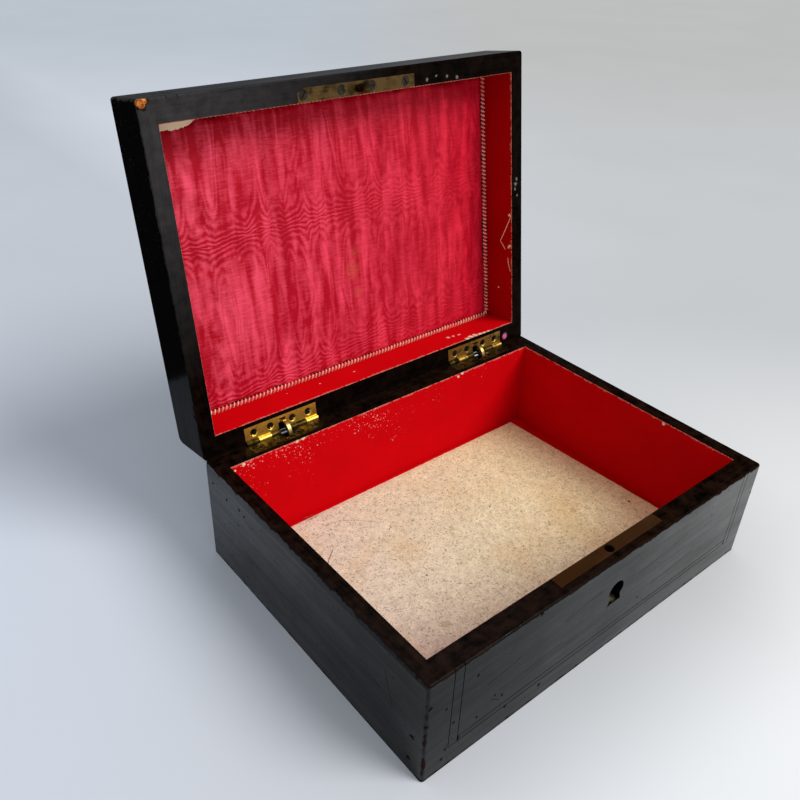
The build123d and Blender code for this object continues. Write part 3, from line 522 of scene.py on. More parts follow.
def surface_paper(name, on_lid, red, deep, flecks, torn=(), scuffed=(), lines=()):
    """Red coated paper. More flecks is more of it flaked. The last three are marks in millimetres."""
    material, tree, place = new_material(name, on_lid)
    cloud, fibre, ragged, knocks, zone = [
        add(tree, "TexNoise", {"Vector": place, "Scale": 1 / (size * MM), "Detail": fine, "Roughness": rough})
        for size, fine, rough in (
            (22, 5.0, 0.5), (0.6, 3.0, 0.5), (4, 6.0, 0.65), (1.2, 2.0, 0.55), (26, 2.0, 0.5))]
    parts = add(tree, "SeparateXYZ", [place]).outputs
    # Knocks come from what was put in: they are high on the wall and thin out to the right.
    high = add(tree, "MapRange", [parts["Z"], 10 * MM, 62 * MM, 0.0, 0.12])
    left = add(tree, "MapRange", [parts["X"], -40 * MM, 60 * MM, 0.08, 0.0])
    level = add(tree, "Math", [zone, 0.4, knocks], operation="MULTIPLY_ADD")
    for more in (high, left):
        level = add(tree, "Math", [level, more], operation="ADD")
    flaked = add(tree, "MapRange", [level, flake_start - flecks, flake_end - flecks])
    # The cut edge is a pale line, frayed and broken.
    ends = [parts["Z"], lid_rim] if on_lid else [base_height, parts["Z"]]
    below = add(tree, "Math", ends, operation="SUBTRACT")
    frayed = add(tree, "Math", [ragged, -fray_height, below], operation="MULTIPLY_ADD")
    cut_edge = add(tree, "MapRange", [frayed, *cut_edge_wear, 1.0, 0.0])
    broken = add(tree, "MapRange", [fibre, 0.4, 0.66, 0.05, 1.0])
    cut_edge = add(tree, "Math", [cut_edge, broken], operation="MULTIPLY")
    scuffs = spots(tree, place, scuffed, knocks)
    tears = spots(tree, place, torn, knocks)
    tears = add(tree, "Math", [tears, scratches(tree, place, lines, curl_width)], operation="MAXIMUM")
    colour = add(tree, "Mix", [cloud, deep, red], data_type="RGBA")
    for mask, shade in ((flaked, "#ffb8b0"), (scuffs, "#f3b3a8"), (cut_edge, "#e8aa94"), (tears, "#f2dcb4")):
        colour = add(tree, "Mix", [mask, colour, shade], data_type="RGBA")
    lost = add(tree, "Math", [flaked, tears], operation="MAXIMUM")
    depth = add(tree, "Math", [lost, -0.8, fibre], operation="MULTIPLY_ADD")
    bump = add(tree, "Bump", {"Height": depth, "Strength": 0.35, "Distance": 0.1 * MM})
    matt = {"Base Color": colour, "Roughness": 0.8, "Specular IOR Level": 0.04, "Normal": bump}
    shader = add(tree, "BsdfPrincipled", matt)
    add(tree, "OutputMaterial", {"Surface": shader})
    return material


# %% Dress the walls, with the marks of each
back_wall, right_wall, lid_right_wall = 85, 121, 120.6
back_torn = [(x, back_wall, z, radius) for x, z, radius in (
    (54.7, 65.1, 1.1), (58.5, 66.3, 1.3), (-75.9, 66.2, 1.2), (-71.5, 66.9, 1.5), (-118.0, 63.5, 1.0),
    (-112.5, 65.5, 1.2))]
right_torn = [(right_wall, y, z, radius) for y, z, radius in (
    (-35.7, 65.5, 1.3), (-63.7, 29.0, 0.5), (-61.6, 22.7, 0.5), (-56.4, 13.4, 0.5))]
lid_back_torn, lid_back_scuffed = [
    [(x, back_wall, rim_mm + up, radius) for x, up, radius in marks] for marks in (
        ((77, 1.4, 1.7), (81, 2.4, 2.2), (85, 2.2, 2.0), (89, 1.4, 1.7), (93, 1.0, 1.5), (97, 0.8, 1.3)),
        ((69, 12.9, 1.5), (73, 12.0, 1.3), (78, 11.3, 1.2), (-12.2, 14.5, 0.9), (-38.4, 15.5, 0.7),
         (-61.3, 18.4, 0.6)))]
lid_right_torn = [(lid_right_wall, y, rim_mm + up, radius) for y, up, radius in (
    (28.8, 3.0, 1.6), (60.8, 13.9, 0.8), (6.7, 3.0, 0.9))]
lid_right_lines = []
for curl in ([(6.7, 1.5), (9.8, 2.6), (18.0, 7.0), (26.0, 11.6), (31.4, 6.9)],
             [(37.4, 4.4), (42.0, 3.8), (46.4, 2.0)]):
    curl = [(lid_right_wall, y, rim_mm + up) for y, up in curl]
    lid_right_lines += list(zip(curl, curl[1:]))
red, deep = "#dc000c", "#c4000a"
# Painted shade: the side and front walls of the base and of the lid get darker reds than the back walls.
for name, on_lid, colours, flecks, marks, sides in (
        ("knocked", False, (red, deep), 0.055, (back_torn,), ["back"]),
        ("walls", False, ("#cc0008", "#b40006"), 0.0, (right_torn,), ["left", "right", "front"]),
        ("lid_back", True, (red, deep), -0.1, (lid_back_torn, lid_back_scuffed), ["back"]),
        ("lid", True, ("#b00006", "#980004"), -0.1, (lid_right_torn, (), lid_right_lines),
         ["left", "right", "front"])):
    paper = surface_paper("surface_paper_" + name, on_lid, *colours, flecks, *marks)
    dress(paper, *[("lid_" if on_lid else "base_") + side + "_paper" for side in sides])
print("8 sheets of lining paper")

# %% [markdown]
# ## Felted floor
# A loose card covers the bottom, faced with undyed wool felt. Felt is a tangle of short fibres: cream,
# pinker at one end and yellower at the other, with specks of dark kemp and a few stains. It scatters
# light softly, so it is rough, with almost no shine. It is one thin sheet laid on the card, so the mesh
# is a grid that rises and falls by a few tenths of a millimetre and dips at its cut edge. The kemp and
# the lint are real little fibres lying on it.

# %% Wool felt, pressed
wool_felt, tree, place = new_material("undyed_wool_felt_pressed")
parts = add(tree, "SeparateXYZ", [place]).outputs
fibres, tufts, stain, specks = [
    add(tree, "TexNoise", {"Vector": place, "Scale": 1 / (size * MM), "Detail": detail, "Roughness": rough})
    for size, detail, rough in ((0.9, 5.0, 0.7), (4, 4.0, 0.6), (45, 4.0, 0.5), (1.3, 1.0, 0.3))]
across = add(tree, "MapRange", [parts["X"], -100 * MM, 110 * MM])
colour = add(tree, "Mix", [across, "#e6dcc4", "#f4e2ac"], data_type="RGBA")
for pattern, low, high in ((fibres, 0.72, 1.22), (tufts, 0.84, 1.12)):
    share = add(tree, "MapRange", [pattern, 0.3, 0.7, low, high])
    colour = add(tree, "VectorMath", [colour, share], operation="SCALE")
yellowed = add(tree, "MapRange", [stain, 0.52, 0.75, 0.0, 0.45])
speckled = add(tree, "MapRange", [specks, 0.6, 0.72, 0.0, 0.45])
felt_mm = 6
olive, burnt = [spots(tree, place, [(x, y, felt_mm, radius) for x, y, radius in marks], tufts) for marks in (
    ((-59.7, -36.7, 2.6), (70.7, -15.2, 2.2), (-5, 20, 2.4)),
    ((108.1, -31.8, 0.9), (29.7, 20.5, 0.6), (42.5, 4.7, 0.5), (-15.6, -18.8, 0.6), (-44.4, -2.1, 0.5),
     (115.9, -16.5, 0.5)))]
olive = add(tree, "Math", [olive, 0.4], operation="MULTIPLY")
for mask, shade in ((yellowed, "#d9b570"), (speckled, "#8a6c50"), (olive, "#a89a58"), (burnt, "#2a1a14")):
    colour = add(tree, "Mix", [mask, colour, shade], data_type="RGBA")
bump = add(tree, "Bump", {"Height": fibres, "Strength": 0.5, "Distance": 0.35 * MM})
shader = add(tree, "BsdfPrincipled", {
    "Base Color": colour, "Roughness": 0.95, "Specular IOR Level": 0.08, "Sheen Weight": 0.1, "Normal": bump,
})
add(tree, "OutputMaterial", {"Surface": shader})
print("felt: fibres about a millimetre long")


# %% Waves and surfaces
def smooth_waves(values, sizes, seed):
    """Sum of sine waves with random phases: one smooth wandering line, between -1 and 1."""
    generator = np.random.default_rng(seed)
    total = np.zeros_like(values)
    for size in sizes:
        total += np.sin(2 * np.pi * values / size + generator.uniform(0, 2 * np.pi)) * size
    return total / sum(sizes)


def grid_faces(rows, columns):
    """Quads of a grid of points listed row by row, facing up."""
    faces = []
    for j in range(rows - 1):
        for i in range(columns - 1):
            corner = j * columns + i
            faces.append((corner, corner + 1, corner + columns + 1, corner + columns))
    return faces


# %% Lay the felt
cloth_low, cloth_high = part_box("floor_cloth")
card_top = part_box("floor_card")[1].z
cloth_mesh = nodes["floor_cloth"].data
back_right = max(v.co.x for v in cloth_mesh.vertices if v.co.y > cloth_high.y - 0.1 * MM)
spacing = 1.6 * MM
rows = round((cloth_high.y - cloth_low.y) / spacing) + 1
columns = round((cloth_high.x - cloth_low.x) / spacing) + 1
v_grid, u_grid = np.meshgrid(np.linspace(0, 1, rows), np.linspace(0, 1, columns), indexing="ij")
right_end = cloth_high.x + (back_right - cloth_high.x) * v_grid
grid_x = cloth_low.x + (right_end - cloth_low.x) * u_grid
grid_y = cloth_low.y + (cloth_high.y - cloth_low.y) * v_grid
from_edge = np.minimum(np.minimum(grid_x - cloth_low.x, right_end - grid_x),
                       np.minimum(grid_y - cloth_low.y, cloth_high.y - grid_y))
swell = smooth_waves(grid_x + 0.3 * grid_y, (61 * MM, 37 * MM, 19 * MM), 2)
swell = swell + smooth_waves(grid_y - 0.2 * grid_x, (53 * MM, 29 * MM, 17 * MM), 4)
sunk, swell_height, tuft_height, edge_dip, edge_width = [size * MM for size in (0.12, 0.05, 0.05, 0.4, 1.0)]
tuft = np.random.default_rng(6).normal(0, tuft_height, grid_x.shape)
lie = cloth_high.z - sunk + swell_height * swell + tuft - edge_dip * np.exp(-from_edge / edge_width)
lowest, highest = card_top + 0.02 * MM, cloth_high.z + 0.1 * MM
points = np.stack([grid_x, grid_y, np.clip(lie, lowest, highest)], axis=-1)
felt = new_piece("felt", points.reshape(-1, 3), grid_faces(rows, columns), wool_felt)
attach(felt, "base")
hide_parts("floor_cloth")


# %% Swept tubes, for fibres and cord
def swept(centres, radius, sides, closed=False):
    """Points and faces of a tube along a list of centres."""
    centres = np.asarray(centres, float)
    count = len(centres)
    ahead = np.roll(centres, -1, axis=0) - np.roll(centres, 1, axis=0)
    if not closed:
        ahead[0], ahead[-1] = centres[1] - centres[0], centres[-1] - centres[-2]
    ahead /= np.linalg.norm(ahead, axis=1, keepdims=True)
    beside = np.cross(ahead, (0.0, 0.0, 1.0))
    beside /= np.maximum(np.linalg.norm(beside, axis=1, keepdims=True), 1e-9)
    over = np.cross(beside, ahead)
    angles = 2 * math.pi * np.arange(sides) / sides
    ring = [centres + radius * (math.cos(angle) * beside + math.sin(angle) * over) for angle in angles]
    points = np.stack(ring, axis=1).reshape(-1, 3)
    faces = []
    for i in range(count if closed else count - 1):
        j = (i + 1) % count
        for k in range(sides):
            m = (k + 1) % sides
            faces.append((i * sides + k, i * sides + m, j * sides + m, j * sides + k))
    if not closed:
        faces.append(tuple(reversed(range(sides))))
        faces.append(tuple((count - 1) * sides + k for k in range(sides)))
    return points, faces


def joined(tubes):
    """Several tubes as one list of points and one of faces."""
    points, faces, start = [], [], 0
    for tube_points, tube_faces in tubes:
        points.append(tube_points)
        faces += [tuple(start + k for k in face) for face in tube_faces]
        start += len(tube_points)
    return np.concatenate(points), faces


# %% Fibres in one colour
def spun_fibre(name, dark, light, size):
    """Matt thread or hair, its colour wandering along it over about size."""
    material, tree, place = new_material(name)
    wander = add(tree, "TexNoise", {"Vector": place, "Scale": 1 / size, "Detail": 3.0})
    span = add(tree, "MapRange", [wander, 0.35, 0.65])
    colour = add(tree, "Mix", [span, dark, light], data_type="RGBA")
    shader = add(tree, "BsdfPrincipled", {"Base Color": colour, "Roughness": 0.6, "Specular IOR Level": 0.2})
    add(tree, "OutputMaterial", {"Surface": shader})
    return material


# %% Kemp and lint on the felt
generator = np.random.default_rng(11)
resting = cloth_high.z + 0.02 * MM
kemp_count, kemp_radius, kemp_mm, margin = 1300, 0.1 * MM, (0.5, 1.9), 3 * MM
kemp = []
for _ in range(kemp_count):
    start = np.array([generator.uniform(cloth_low.x + margin, back_right - margin),
                      generator.uniform(cloth_low.y + margin, cloth_high.y - margin), resting])
    heading, bend = generator.uniform(0, 2 * np.pi), generator.normal(0, 0.5)
    length = generator.uniform(*kemp_mm) * MM
    steps = np.linspace(0, 1, 4)
    turn = heading + bend * steps
    path = start + np.stack([np.cos(turn), np.sin(turn), 0 * steps], axis=1) * (length * steps)[:, None]
    kemp.append(swept(path, kemp_radius, 3))
pieces = [new_piece("kemp", *joined(kemp), spun_fibre("wool_kemp_dark", "#5c4630", "#a88a64", 9 * MM))]
lint = (
    ("lint_red", 0.14, ("#7a1020", "#a83c4a"), [
        [(-76.2, 48.5), (-79.5, 46.0), (-83.2, 42.9), (-86.0, 39.8)]]),
    ("lint_fine", 0.07, ("#8a5a54", "#c8a090"), [
        [(-66.5, 69.0), (-61.0, 68.6), (-55.0, 66.5), (-48.5, 62.0), (-42.0, 55.5), (-40.2, 53.4)]]),
    ("lint_dark", 0.12, ("#54463a", "#8e8270"), [
        [(-75.0, 83.0), (-72.5, 83.6), (-70.5, 82.2), (-71.0, 80.4), (-68.8, 79.6), (-66.2, 80.8),
         (-64.5, 80.2)],
        [(-73.5, 81.0), (-71.8, 79.4), (-69.4, 80.6), (-67.6, 82.4), (-69.6, 83.4)]]),
)
for name, thick, colours, paths in lint:
    thick *= MM
    tubes = [swept([(x * MM, y * MM, resting + thick) for x, y in path], thick, 4) for path in paths]
    pieces.append(new_piece(name, *joined(tubes), spun_fibre(name + "_fibre", *colours, 6 * MM)))
for piece in pieces:
    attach(piece, "base")
print(len(kemp), "fibres of kemp and", len(lint), "bits of lint")

# %% [markdown]
# ## Card
# The card under the felt is grey-brown pasteboard, which shows only along its cut edge. Pasteboard is
# made of many thin layers, so its edge is faintly striped.

# %% Pasteboard, cut
pasteboard, tree, place = new_material("pasteboard_cut")
flattened = add(tree, "Mapping", {"Vector": place, "Scale": (0.1, 0.1, 1.0)})
layers = add(tree, "TexNoise", {"Vector": flattened, "Scale": 1 / (0.4 * MM)})
colour = add(tree, "Mix", [layers, "#5d4332", "#94785c"], data_type="RGBA")
shader = add(tree, "BsdfPrincipled", {"Base Color": colour, "Roughness": 0.9, "Specular IOR Level": 0.1})
add(tree, "OutputMaterial", {"Surface": shader})
dress(pasteboard, "floor_card")
print("card dressed")

# %% [markdown]
# ## Brass, iron and steel
# The hinges are cast brass, once lacquered: still golden on the lid's left leaf and brown on the base's.
# The lid's right leaf is the same brass made darker, which is painted shade. The lock plate and the strike
# are rolled brass gone brown. A metal has no colour but that of its reflection, so tarnish is a darker and
# rougher colour laid over it in clouds. The screws are steel, dull grey, with rust in their slots.

# %% Tarnished metal
def tarnished(name, clean, tarnish, share, rough, grain=1.0, size=5):
    """Metal under clouds of tarnish about size millimetres across. share is how much is covered, and a grain
    under 1 draws the rolling marks out along X."""
    material, tree, place = new_material(name)
    along = add(tree, "Mapping", {"Vector": place, "Scale": (grain, 1.0, 1.0)})
    cloud, fine = [
        add(tree, "TexNoise", {"Vector": at, "Scale": 1 / (wide * MM), "Detail": detail, "Roughness": uneven})
        for at, wide, detail, uneven in ((place, size, 5.0, 0.55), (along, 0.5, 3.0, 0.5))]
    spread = add(tree, "Math", [fine, 0.3, cloud], operation="MULTIPLY_ADD")
    cover = add(tree, "MapRange", [spread, 0.8 - 0.4 * share, 1.0 - 0.4 * share])
    colour = add(tree, "Mix", [cover, clean, tarnish], data_type="RGBA")
    dull = add(tree, "MapRange", [cover, 0.0, 1.0, rough, rough + 0.25])
    bump = add(tree, "Bump", {"Height": fine, "Strength": 0.25, "Distance": 0.05 * MM})
    shader = add(tree, "BsdfPrincipled", {
        "Base Color": colour, "Metallic": 1.0, "Roughness": dull, "Normal": bump,
    })
    add(tree, "OutputMaterial", {"Surface": shader})
    return material


# %% Dress the metalwork
rolled = 0.1
for name, look, pieces in (
        ("cast_brass_lacquered", ("#f6cc58", "#5e4a1c", 0.3, 0.38), ["left_hinge_lid_leaf"]),
        # Painted shade: the lid's right leaf is a darker copy of the lacquered brass.
        ("cast_brass_lacquered_shaded", ("#bc9444", "#4a3a1a", 0.45, 0.42), ["right_hinge_lid_leaf"]),
        ("cast_brass_browned", ("#4e3e1c", "#1e180c", 0.6, 0.4),
         ["left_hinge_base_leaf", "right_hinge_base_leaf", "strike_stud"]),
        ("cast_brass_rubbed", ("#c0a468", "#6a552e", 0.3, 0.34), ["left_stop_arm", "right_stop_arm"]),
        ("rolled_brass_olive", ("#6e5632", "#241a12", 0.45, 0.35, rolled, 9), ["strike_plate"]),
        ("rolled_brass_brown", ("#7e4e24", "#50321a", 0.4, 0.38, rolled, 12), ["lock_plate"]),
        ("turned_steel_dull", ("#454039", "#201812", 0.5, 0.36, 1.0, 3),
         ["lid_hinge_screws", "strike_screws"]),
        ("turned_steel_rusted", ("#3c3228", "#1e1610", 0.5, 0.45, 1.0, 3),
         ["base_hinge_screws", "lock_screws"]),
        ("sheet_iron_browned", ("#3a322c", "#1d1410", 0.6, 0.5),
         ["left_hinge_pin", "right_hinge_pin", "lock_case", "lock_key_pin", "lock_spring", "lock_guide_studs",
          "lock_bolt"])):
    dress(tarnished(name, *look), *pieces)
print("metals dressed")

# %% [markdown]
# ## Wax plug
# A dot of pink sealing wax fills an old hole in the lid's rim. Wax is glossy and lets a little light in,
# so it has some subsurface scattering over about a millimetre.

# %% Sealing wax, dripped
wax, tree, place = new_material("sealing_wax_dripped")
cloud = add(tree, "TexNoise", {"Vector": place, "Scale": 1 / (3 * MM), "Detail": 3.0})
colour = add(tree, "Mix", [cloud, "#c83a78", "#f08ab4"], data_type="RGBA")
plug_middle = sum((Vector(corner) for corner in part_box("rim_plug")), Vector()) / 2
# Painted shade: a dark ring round the plug's edge, where it sits down in its hole.
outward = add(tree, "VectorMath", [place, plug_middle], operation="DISTANCE").outputs["Value"]
ring = add(tree, "MapRange", [outward, 1.9 * MM, 2.8 * MM])
colour = add(tree, "Mix", [ring, colour, "#4a0c22"], data_type="RGBA")
shader = add(tree, "BsdfPrincipled", {
    "Base Color": colour, "Roughness": 0.3, "IOR": 1.44, "Subsurface Weight": 0.2,
    "Subsurface Scale": 1.0 * MM,
})
add(tree, "OutputMaterial", {"Surface": shader})
dress(wax, "rim_plug")
print("plug dressed")

# %% [markdown]
# ## The silk pad: its body
# Inside the lid a card is padded with a thin layer of wadding and covered with silk, drawn over its edges
# and glued. Its body gives it away as soft: crowned a little, pulled down hard at its edges, with small
# gathers that start where the silk was folded over the front edge. The grid sets the crown and the
# gathers, and then Blender's cloth simulation pushes the wadding out between them, by a millimetre or so
# and no more, since it has to stay in the lid.

# %% Lay out the pad
pad_low, pad_high = shut_box("silk_panel")
pad_step = 2.2 * MM
xs = np.linspace(pad_low.x, pad_high.x, round((pad_high.x - pad_low.x) / pad_step) + 1)
ys = np.linspace(pad_low.y, pad_high.y, round((pad_high.y - pad_low.y) / pad_step) + 1)
grid_x, grid_y = np.meshgrid(xs, ys)
from_side = np.minimum(grid_x - pad_low.x, pad_high.x - grid_x)
from_edge = np.minimum(from_side, np.minimum(grid_y - pad_low.y, pad_high.y - grid_y))
edge_share, edge_round, gather_height, gather_start = 0.6, 1.6 * MM, 0.34 * MM, 5 * MM
crown = (pad_high.z - pad_low.z) * (1 - edge_share * np.exp(-from_edge / edge_round))
wander = smooth_waves(grid_y, (90 * MM, 37 * MM), 3) * 3 * MM
gathers = smooth_waves(grid_x + wander, (23 * MM, 13.7 * MM, 8.3 * MM, 5.9 * MM), 5)
near_front = np.exp(-(grid_y - pad_low.y) / (30 * MM))
near_back = np.exp(-(pad_high.y - grid_y) / (20 * MM))
fade = 0.25 + 1.1 * near_front + 0.4 * near_back
rise = crown + gathers * fade * gather_height * np.clip(from_edge / gather_start, 0, 1)
print("pad grid", len(xs), "by", len(ys))


# %% Close the pad against the card
def closed_pad(xs, ys, rise):
    """Points and faces of a closed solid: a domed skin below the lid's ceiling, and a flat back."""
    high, thinnest = pad_high.z, 1.0 * MM
    skin = [(x, y, high - max(thinnest, rise[j, i])) for j, y in enumerate(ys) for i, x in enumerate(xs)]
    back = [(x, y, high) for y in ys for x in xs]
    width, count = len(xs), len(xs) * len(ys)
    grid = grid_faces(len(ys), width)
    faces = [tuple(reversed(quad)) for quad in grid] + [tuple(count + k for k in quad) for quad in grid]
    ring = list(range(width)) + [j * width + width - 1 for j in range(1, len(ys))]
    ring += [(len(ys) - 1) * width + i for i in range(width - 2, -1, -1)]
    ring += [j * width for j in range(len(ys) - 2, 0, -1)]
    faces += [(a, b, count + b, count + a) for a, b in zip(ring, ring[1:] + ring[:1])]
    return skin + back, faces


# %% Settle the silk as cloth
def settle(piece, frames, pressure, most):
    """Inflate a closed piece as cloth for some frames, and keep any point from moving more than a limit."""
    before = np.array([vertex.co for vertex in piece.data.vertices])
    held = piece.vertex_groups.new(name="glued")
    glue_line = pad_high.z - 0.8 * MM
    held.add([i for i, point in enumerate(before) if point[2] > glue_line], 1.0, "REPLACE")
    cloth = piece.modifiers.new("cloth", "CLOTH")
    cloth.settings.quality = 6
    cloth.settings.mass = 0.15
    cloth.settings.tension_stiffness = 25.0
    cloth.settings.bending_stiffness = 0.2
    cloth.settings.shrink_min = -0.02
    cloth.settings.use_pressure = True
    cloth.settings.uniform_pressure_force = pressure
    cloth.settings.vertex_group_mass = "glued"
    cloth.settings.effector_weights.gravity = 0.0
    cloth.collision_settings.use_collision = False
    cloth.point_cache.frame_end = frames
    for frame_number in range(1, frames + 1):
        bpy.context.scene.frame_set(frame_number)
    settled = piece.evaluated_get(bpy.context.evaluated_depsgraph_get())
    moved = np.array([vertex.co for vertex in settled.data.vertices]) - before
    piece.modifiers.clear()
    bpy.context.scene.frame_set(1)
    length = np.linalg.norm(moved, axis=1, keepdims=True)
    moved *= np.minimum(1.0, most / np.maximum(length, 1e-9))
    piece.data.vertices.foreach_set("co", (before + moved).astype(np.float32).ravel())
    piece.data.update()
    return float(length.max())


# %% [markdown]
# ## The silk pad: its watering
# Watered silk is ribbed silk that was folded face to face and pressed. The two sets of ribs cross by
# chance and flatten each other in wandering lines, like the contours of a map, and the pattern is
# mirrored about the fold. So it is drawn as contours: a height that drifts slowly along the cloth and
# quickly across it, plus a steep slope at each fold, and a cosine of the sum. At the folds the lines
# crowd into bands of fine ripples, and away from them they turn into long nested arches. The ribs run
# across the lid and are 0.5 mm apart, finer than a picture of the whole box can show, so they are drawn
# at 1.1 mm.

# %% Two folds of the cloth
def fold_distance(tree, place, fold_y, slope, wobble):
    """Distance from a fold that crosses the lid at fold_y, leaning by slope and wandering with wobble."""
    parts = add(tree, "SeparateXYZ", [place]).outputs
    line = add(tree, "Math", [parts["X"], slope, fold_y], operation="MULTIPLY_ADD")
    line = add(tree, "Math", [wobble, 11 * MM, line], operation="MULTIPLY_ADD")
    off = add(tree, "Math", [parts["Y"], line], operation="SUBTRACT")
    return add(tree, "Math", [off], operation="ABSOLUTE")


# %% Watered silk, pressed
# A fold has its place along the lid's depth, and its lean. Near it the height rises by some turns.
left_fold, back_fold, fold_reach, fold_turns = (-23.5 * MM, -0.02), (66 * MM, -0.07), 9 * MM, 8.4
rib_spacing = 1.1 * MM


def watered_silk():
    """Crimson ribbed silk with its watering."""
    material, tree, place = new_material("watered_silk_pressed", True)
    parts = add(tree, "SeparateXYZ", [place]).outputs
    level, streaks, weft = [add(tree, "Mapping", {"Vector": place, "Scale": scale})
                            for scale in ((1.0, 0.04, 0.0), (1.0, 0.13, 1.0), (0.16, 1.0, 1.0))]
    wobble, patchy, streak, slubs, folds, soaked = [
        add(tree, "TexNoise", {"Vector": at, "Scale": 1 / (size * MM), "Detail": detail, "Roughness": rough})
        for at, size, detail, rough in (
            (level, 38, 3.0, 0.5), (place, 22, 3.0, 0.5), (streaks, 7, 3.0, 0.5), (weft, 1.0, 3.0, 0.65),
            (streaks, 5, 2.0, 0.5), (streaks, 3, 3.0, 0.5))]
    near, far = [fold_distance(tree, place, *crease, wobble) for crease in (left_fold, back_fold)]
    fold = add(tree, "Math", [near, far, 6 * MM], operation="SMOOTH_MIN")
    lengthways = add(tree, "Math", [fold, 0.17], operation="MULTIPLY")
    mirrored = add(tree, "CombineXYZ", [parts["X"], lengthways])
    drifting = {"Vector": mirrored, "Scale": 1 / (13 * MM), "Detail": 2.0, "Roughness": 0.45}
    drift = add(tree, "TexNoise", drifting)
    # The steep slope at a fold decays over its reach, and each whole number of the height is a line.
    decay = add(tree, "Math", [fold, -1 / fold_reach], operation="MULTIPLY")
    decay = add(tree, "Math", [decay], operation="EXPONENT")
    swing = add(tree, "MapRange", [decay, 0.0, 1.0, 9.0, 2.6])
    turns = add(tree, "Math", [drift, swing], operation="MULTIPLY")
    turns = add(tree, "Math", [decay, fold_turns, turns], operation="MULTIPLY_ADD")
    wave = add(tree, "Math", [turns, 2 * math.pi], operation="MULTIPLY")
    wave = add(tree, "Math", [wave], operation="COSINE")
    wave = add(tree, "Math", [wave, 0.5], operation="MULTIPLY")
    # Watering is stronger in some patches than in others, and near a fold it is strongest on the left.
    strength = add(tree, "MapRange", [patchy, 0.3, 0.65, 0.08, 0.36])
    leftward = add(tree, "MapRange", [parts["X"], -40 * MM, 60 * MM, 0.45, 0.12])
    strength = add(tree, "Math", [decay, leftward, strength], operation="MULTIPLY_ADD")
    streak = add(tree, "MapRange", [streak, 0.34, 0.66])
    slub = add(tree, "Math", [slubs, -0.5], operation="ADD")
    light = 0.0
    for pattern, weight in ((wave, strength), (streak, 0.8), (slub, 1.05)):
        light = add(tree, "Math", [pattern, weight, light], operation="MULTIPLY_ADD")
    # Painted shade: the valleys of the gathers at the front edge are darker.
    front = add(tree, "Math", [parts["Y"], pad_low.y], operation="SUBTRACT")
    shadow = add(tree, "MapRange", [front, 0.0, 26 * MM, 0.45, 0.0], interpolation_type="SMOOTHSTEP")
    folded = add(tree, "MapRange", [folds, 0.4, 0.65, 0.35, 1.0])
    shadow = add(tree, "Math", [shadow, folded], operation="MULTIPLY")
    light = add(tree, "Math", [light, shadow], operation="SUBTRACT")
    span = add(tree, "MapRange", [light, 0.06, 1.12])
    across = add(tree, "MapRange", [parts["X"], -110 * MM, 110 * MM])
    pale = add(tree, "Mix", [across, "#fc5872", "#e61e38"], data_type="RGBA")
    colour = add(tree, "Mix", [span, "#b0021e", pale], data_type="RGBA")
    stains = spots(tree, place, [(0, 20, 92, 5), (-30, 12, 92, 2.5), (4, 36, 92, 3.5), (3, 9, 92, 3)], soaked)
    stains = add(tree, "Math", [stains, 0.14], operation="MULTIPLY")
    colour = add(tree, "Mix", [stains, colour, "#b5702e"], data_type="RGBA")
    # A wave texture repeats once in about a third of its unit, hence pi beside the ribs' spacing.
    rib = add(tree, "TexWave", {
        "Vector": place, "Scale": 1 / rib_spacing / math.pi, "Distortion": 1.2, "Detail": 2.0,
        "Detail Scale": 40.0,
    }, bands_direction="Y")
    depth = add(tree, "Math", [slubs, 0.8, rib], operation="MULTIPLY_ADD")
    bump = add(tree, "Bump", {"Height": depth, "Strength": 0.2, "Distance": 0.1 * MM})
    sheen = {"Base Color": colour, "Roughness": 0.55, "Specular IOR Level": 0.12, "Normal": bump}
    shader = add(tree, "BsdfPrincipled", sheen)
    add(tree, "OutputMaterial", {"Surface": shader})
    return material


# %% Put the pad in the lid
pad = new_piece("silk_pad", *closed_pad(xs, ys, rise), watered_silk())
most = 1.2 * MM
pushed = settle(pad, frames=12, pressure=1.5, most=most)
print("the cloth would move by", round(pushed / MM, 2), "mm, and is held to", round(most / MM, 1), "mm")
pad.data.transform(shut_to_open)
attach(pad, "lid")
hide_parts("silk_panel")
print("pad:", len(pad.data.vertices), "points")

# %% [markdown]
# ## Gimp
# The joint between pad and wall is hidden by gimp, a trimming: a red core wound openly with a flat cream
# thread. Seen from outside it is a row of slanted cream dashes. Two tubes make it, a plain one for the
# core and an oval helix for the thread, both along one rectangle. It has come off at the front left
# corner and left a strip of bare card, so the line starts beyond that strip.

# %% Line of the gimp
cord_low, cord_high = shut_box("silk_cord")
cord_radius = (cord_high.z - cord_low.z) / 2
cord_z = (cord_high.z + cord_low.z) / 2
bare_end = -89.5 * MM


def cord_line(step, corner):
    """Centre line of the gimp: from the bare strip along the front, round three corners, to the fourth."""
    x0, x1 = cord_low.x + cord_radius, cord_high.x - cord_radius
    y0, y1 = cord_low.y + cord_radius, cord_high.y - cord_radius
    points = [(bare_end, y0)]
    left, right, back = x0 + corner, x1 - corner, y1 - corner
    for x, y, start in ((right, y0 + corner, -90), (right, back, 0), (left, back, 90)):
        turn = np.radians(start + 15.0 * np.arange(7))
        points += list(zip(x + corner * np.cos(turn), y + corner * np.sin(turn)))
    points = np.array(points + [(x0, y0 + 4 * MM)])
    lengths = np.concatenate([[0], np.cumsum(np.linalg.norm(np.diff(points, axis=0), axis=1))])
    along = np.arange(0, lengths[-1], step)
    line = np.stack([np.interp(along, lengths, points[:, i]) for i in (0, 1)], axis=1)
    return line, along


def wound(line, along, pitch, wide, high):
    """Thread wound round a line: an oval helix."""
    ahead = np.gradient(line, axis=0)
    ahead /= np.linalg.norm(ahead, axis=1, keepdims=True)
    beside = np.stack([ahead[:, 1], -ahead[:, 0]], axis=1)
    turn = 2 * np.pi * along / pitch
    flat = line + beside * (wide * np.cos(turn))[:, None]
    return np.column_stack([flat, cord_z + high * np.sin(turn)])


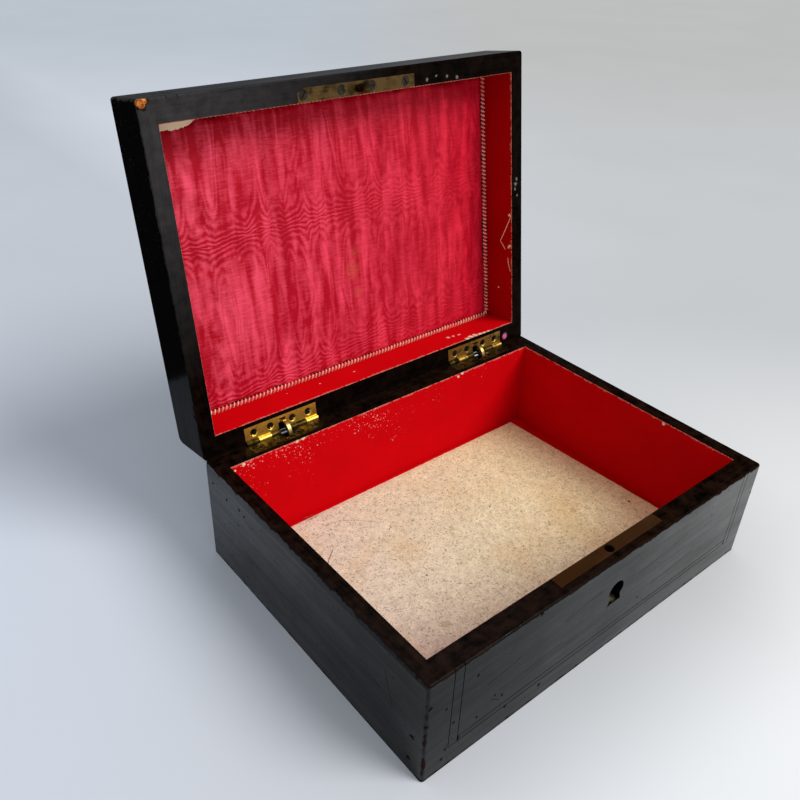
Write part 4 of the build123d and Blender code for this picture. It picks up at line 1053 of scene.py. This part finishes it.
# %% Wind it
pitch, corner, core_radius, thread_radius = 2.6 * MM, 2.5 * MM, 1.05 * MM, 0.46 * MM
step, thread_wide, thread_high = 0.27 * MM, 1.35 * MM, 0.95 * MM
line, along = cord_line(step, corner)
coarse = line[::6]
core_line = np.column_stack([coarse, np.full(len(coarse), cord_z)])
thread_line = wound(line, along, pitch, thread_wide, thread_high)
red_silk = spun_fibre("silk_core_red", "#b01030", "#d83048", 3 * MM)
cream_silk = spun_fibre("silk_thread_cream", "#f0987a", "#ffd2ac", 5 * MM)
core = new_piece("gimp_core", *swept(core_line, core_radius, 8), red_silk)
thread = new_piece("gimp_thread", *swept(thread_line, thread_radius, 6), cream_silk)
for piece in (core, thread):
    piece.data.transform(shut_to_open)
    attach(piece, "lid")
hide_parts("silk_cord")
print("gimp:", round(along[-1] / MM), "mm")

# %% [markdown]
# ## Bare card where the gimp is lost
# A strip of the pad's card shows at its front left corner: cream where glue has kept it clean, brown
# along the torn edge. It is a small curled sheet with a ragged outline.

# %% Torn strip
torn_card, tree, place = new_material("torn_card", True)
parts = add(tree, "SeparateXYZ", [place]).outputs
pulp = add(tree, "TexNoise", {"Vector": place, "Scale": 1 / (2.5 * MM), "Detail": 5.0})
end = add(tree, "MapRange", [parts["X"], -113 * MM, -108 * MM])
end = add(tree, "Math", [end, pulp], operation="ADD")
clean = add(tree, "MapRange", [end, 0.5, 0.9])
colour = add(tree, "Mix", [clean, "#b0662c", "#fff6cc"], data_type="RGBA")
bump = add(tree, "Bump", {"Height": pulp, "Strength": 0.5, "Distance": 0.3 * MM})
matt = {"Base Color": colour, "Roughness": 0.9, "Specular IOR Level": 0.1, "Normal": bump}
shader = add(tree, "BsdfPrincipled", matt)
add(tree, "OutputMaterial", {"Surface": shader})
strip_x = np.linspace(-113.5, -90.0, 36) * MM
strip_outer, strip_rows, raggedness = -84.7 * MM, 6, 0.22 * MM
curl_height, sag_height, ripple_height, ripple_size = 0.5 * MM, 0.5 * MM, 0.25 * MM, 3.1 * MM
rag = np.random.default_rng(9)
strip_inner = np.interp(strip_x, np.array([-113.5, -111, -102, -95, -90]) * MM,
                        np.array([-81.0, -79.2, -78.6, -80.0, -82.6]) * MM)
strip_inner = strip_inner + rag.normal(0, raggedness, len(strip_x))
strip_points = []
for j in range(strip_rows):
    share = j / (strip_rows - 1)
    for x, inner in zip(strip_x, strip_inner):
        y = strip_outer + (inner - strip_outer) * share
        curl = curl_height * share ** 3 + ripple_height * math.sin(x / ripple_size) * share
        sag = sag_height * share * (1 - share)
        strip_points.append((x, y, pad_low.z - 0.2 * MM - curl - sag))
strip_faces = [tuple(reversed(face)) for face in grid_faces(strip_rows, len(strip_x))]
strip = new_piece("torn_card_strip", strip_points, strip_faces, torn_card)
strip.data.transform(shut_to_open)
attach(strip, "lid")
print("strip", round((strip_x[-1] - strip_x[0]) / MM, 1), "mm long")
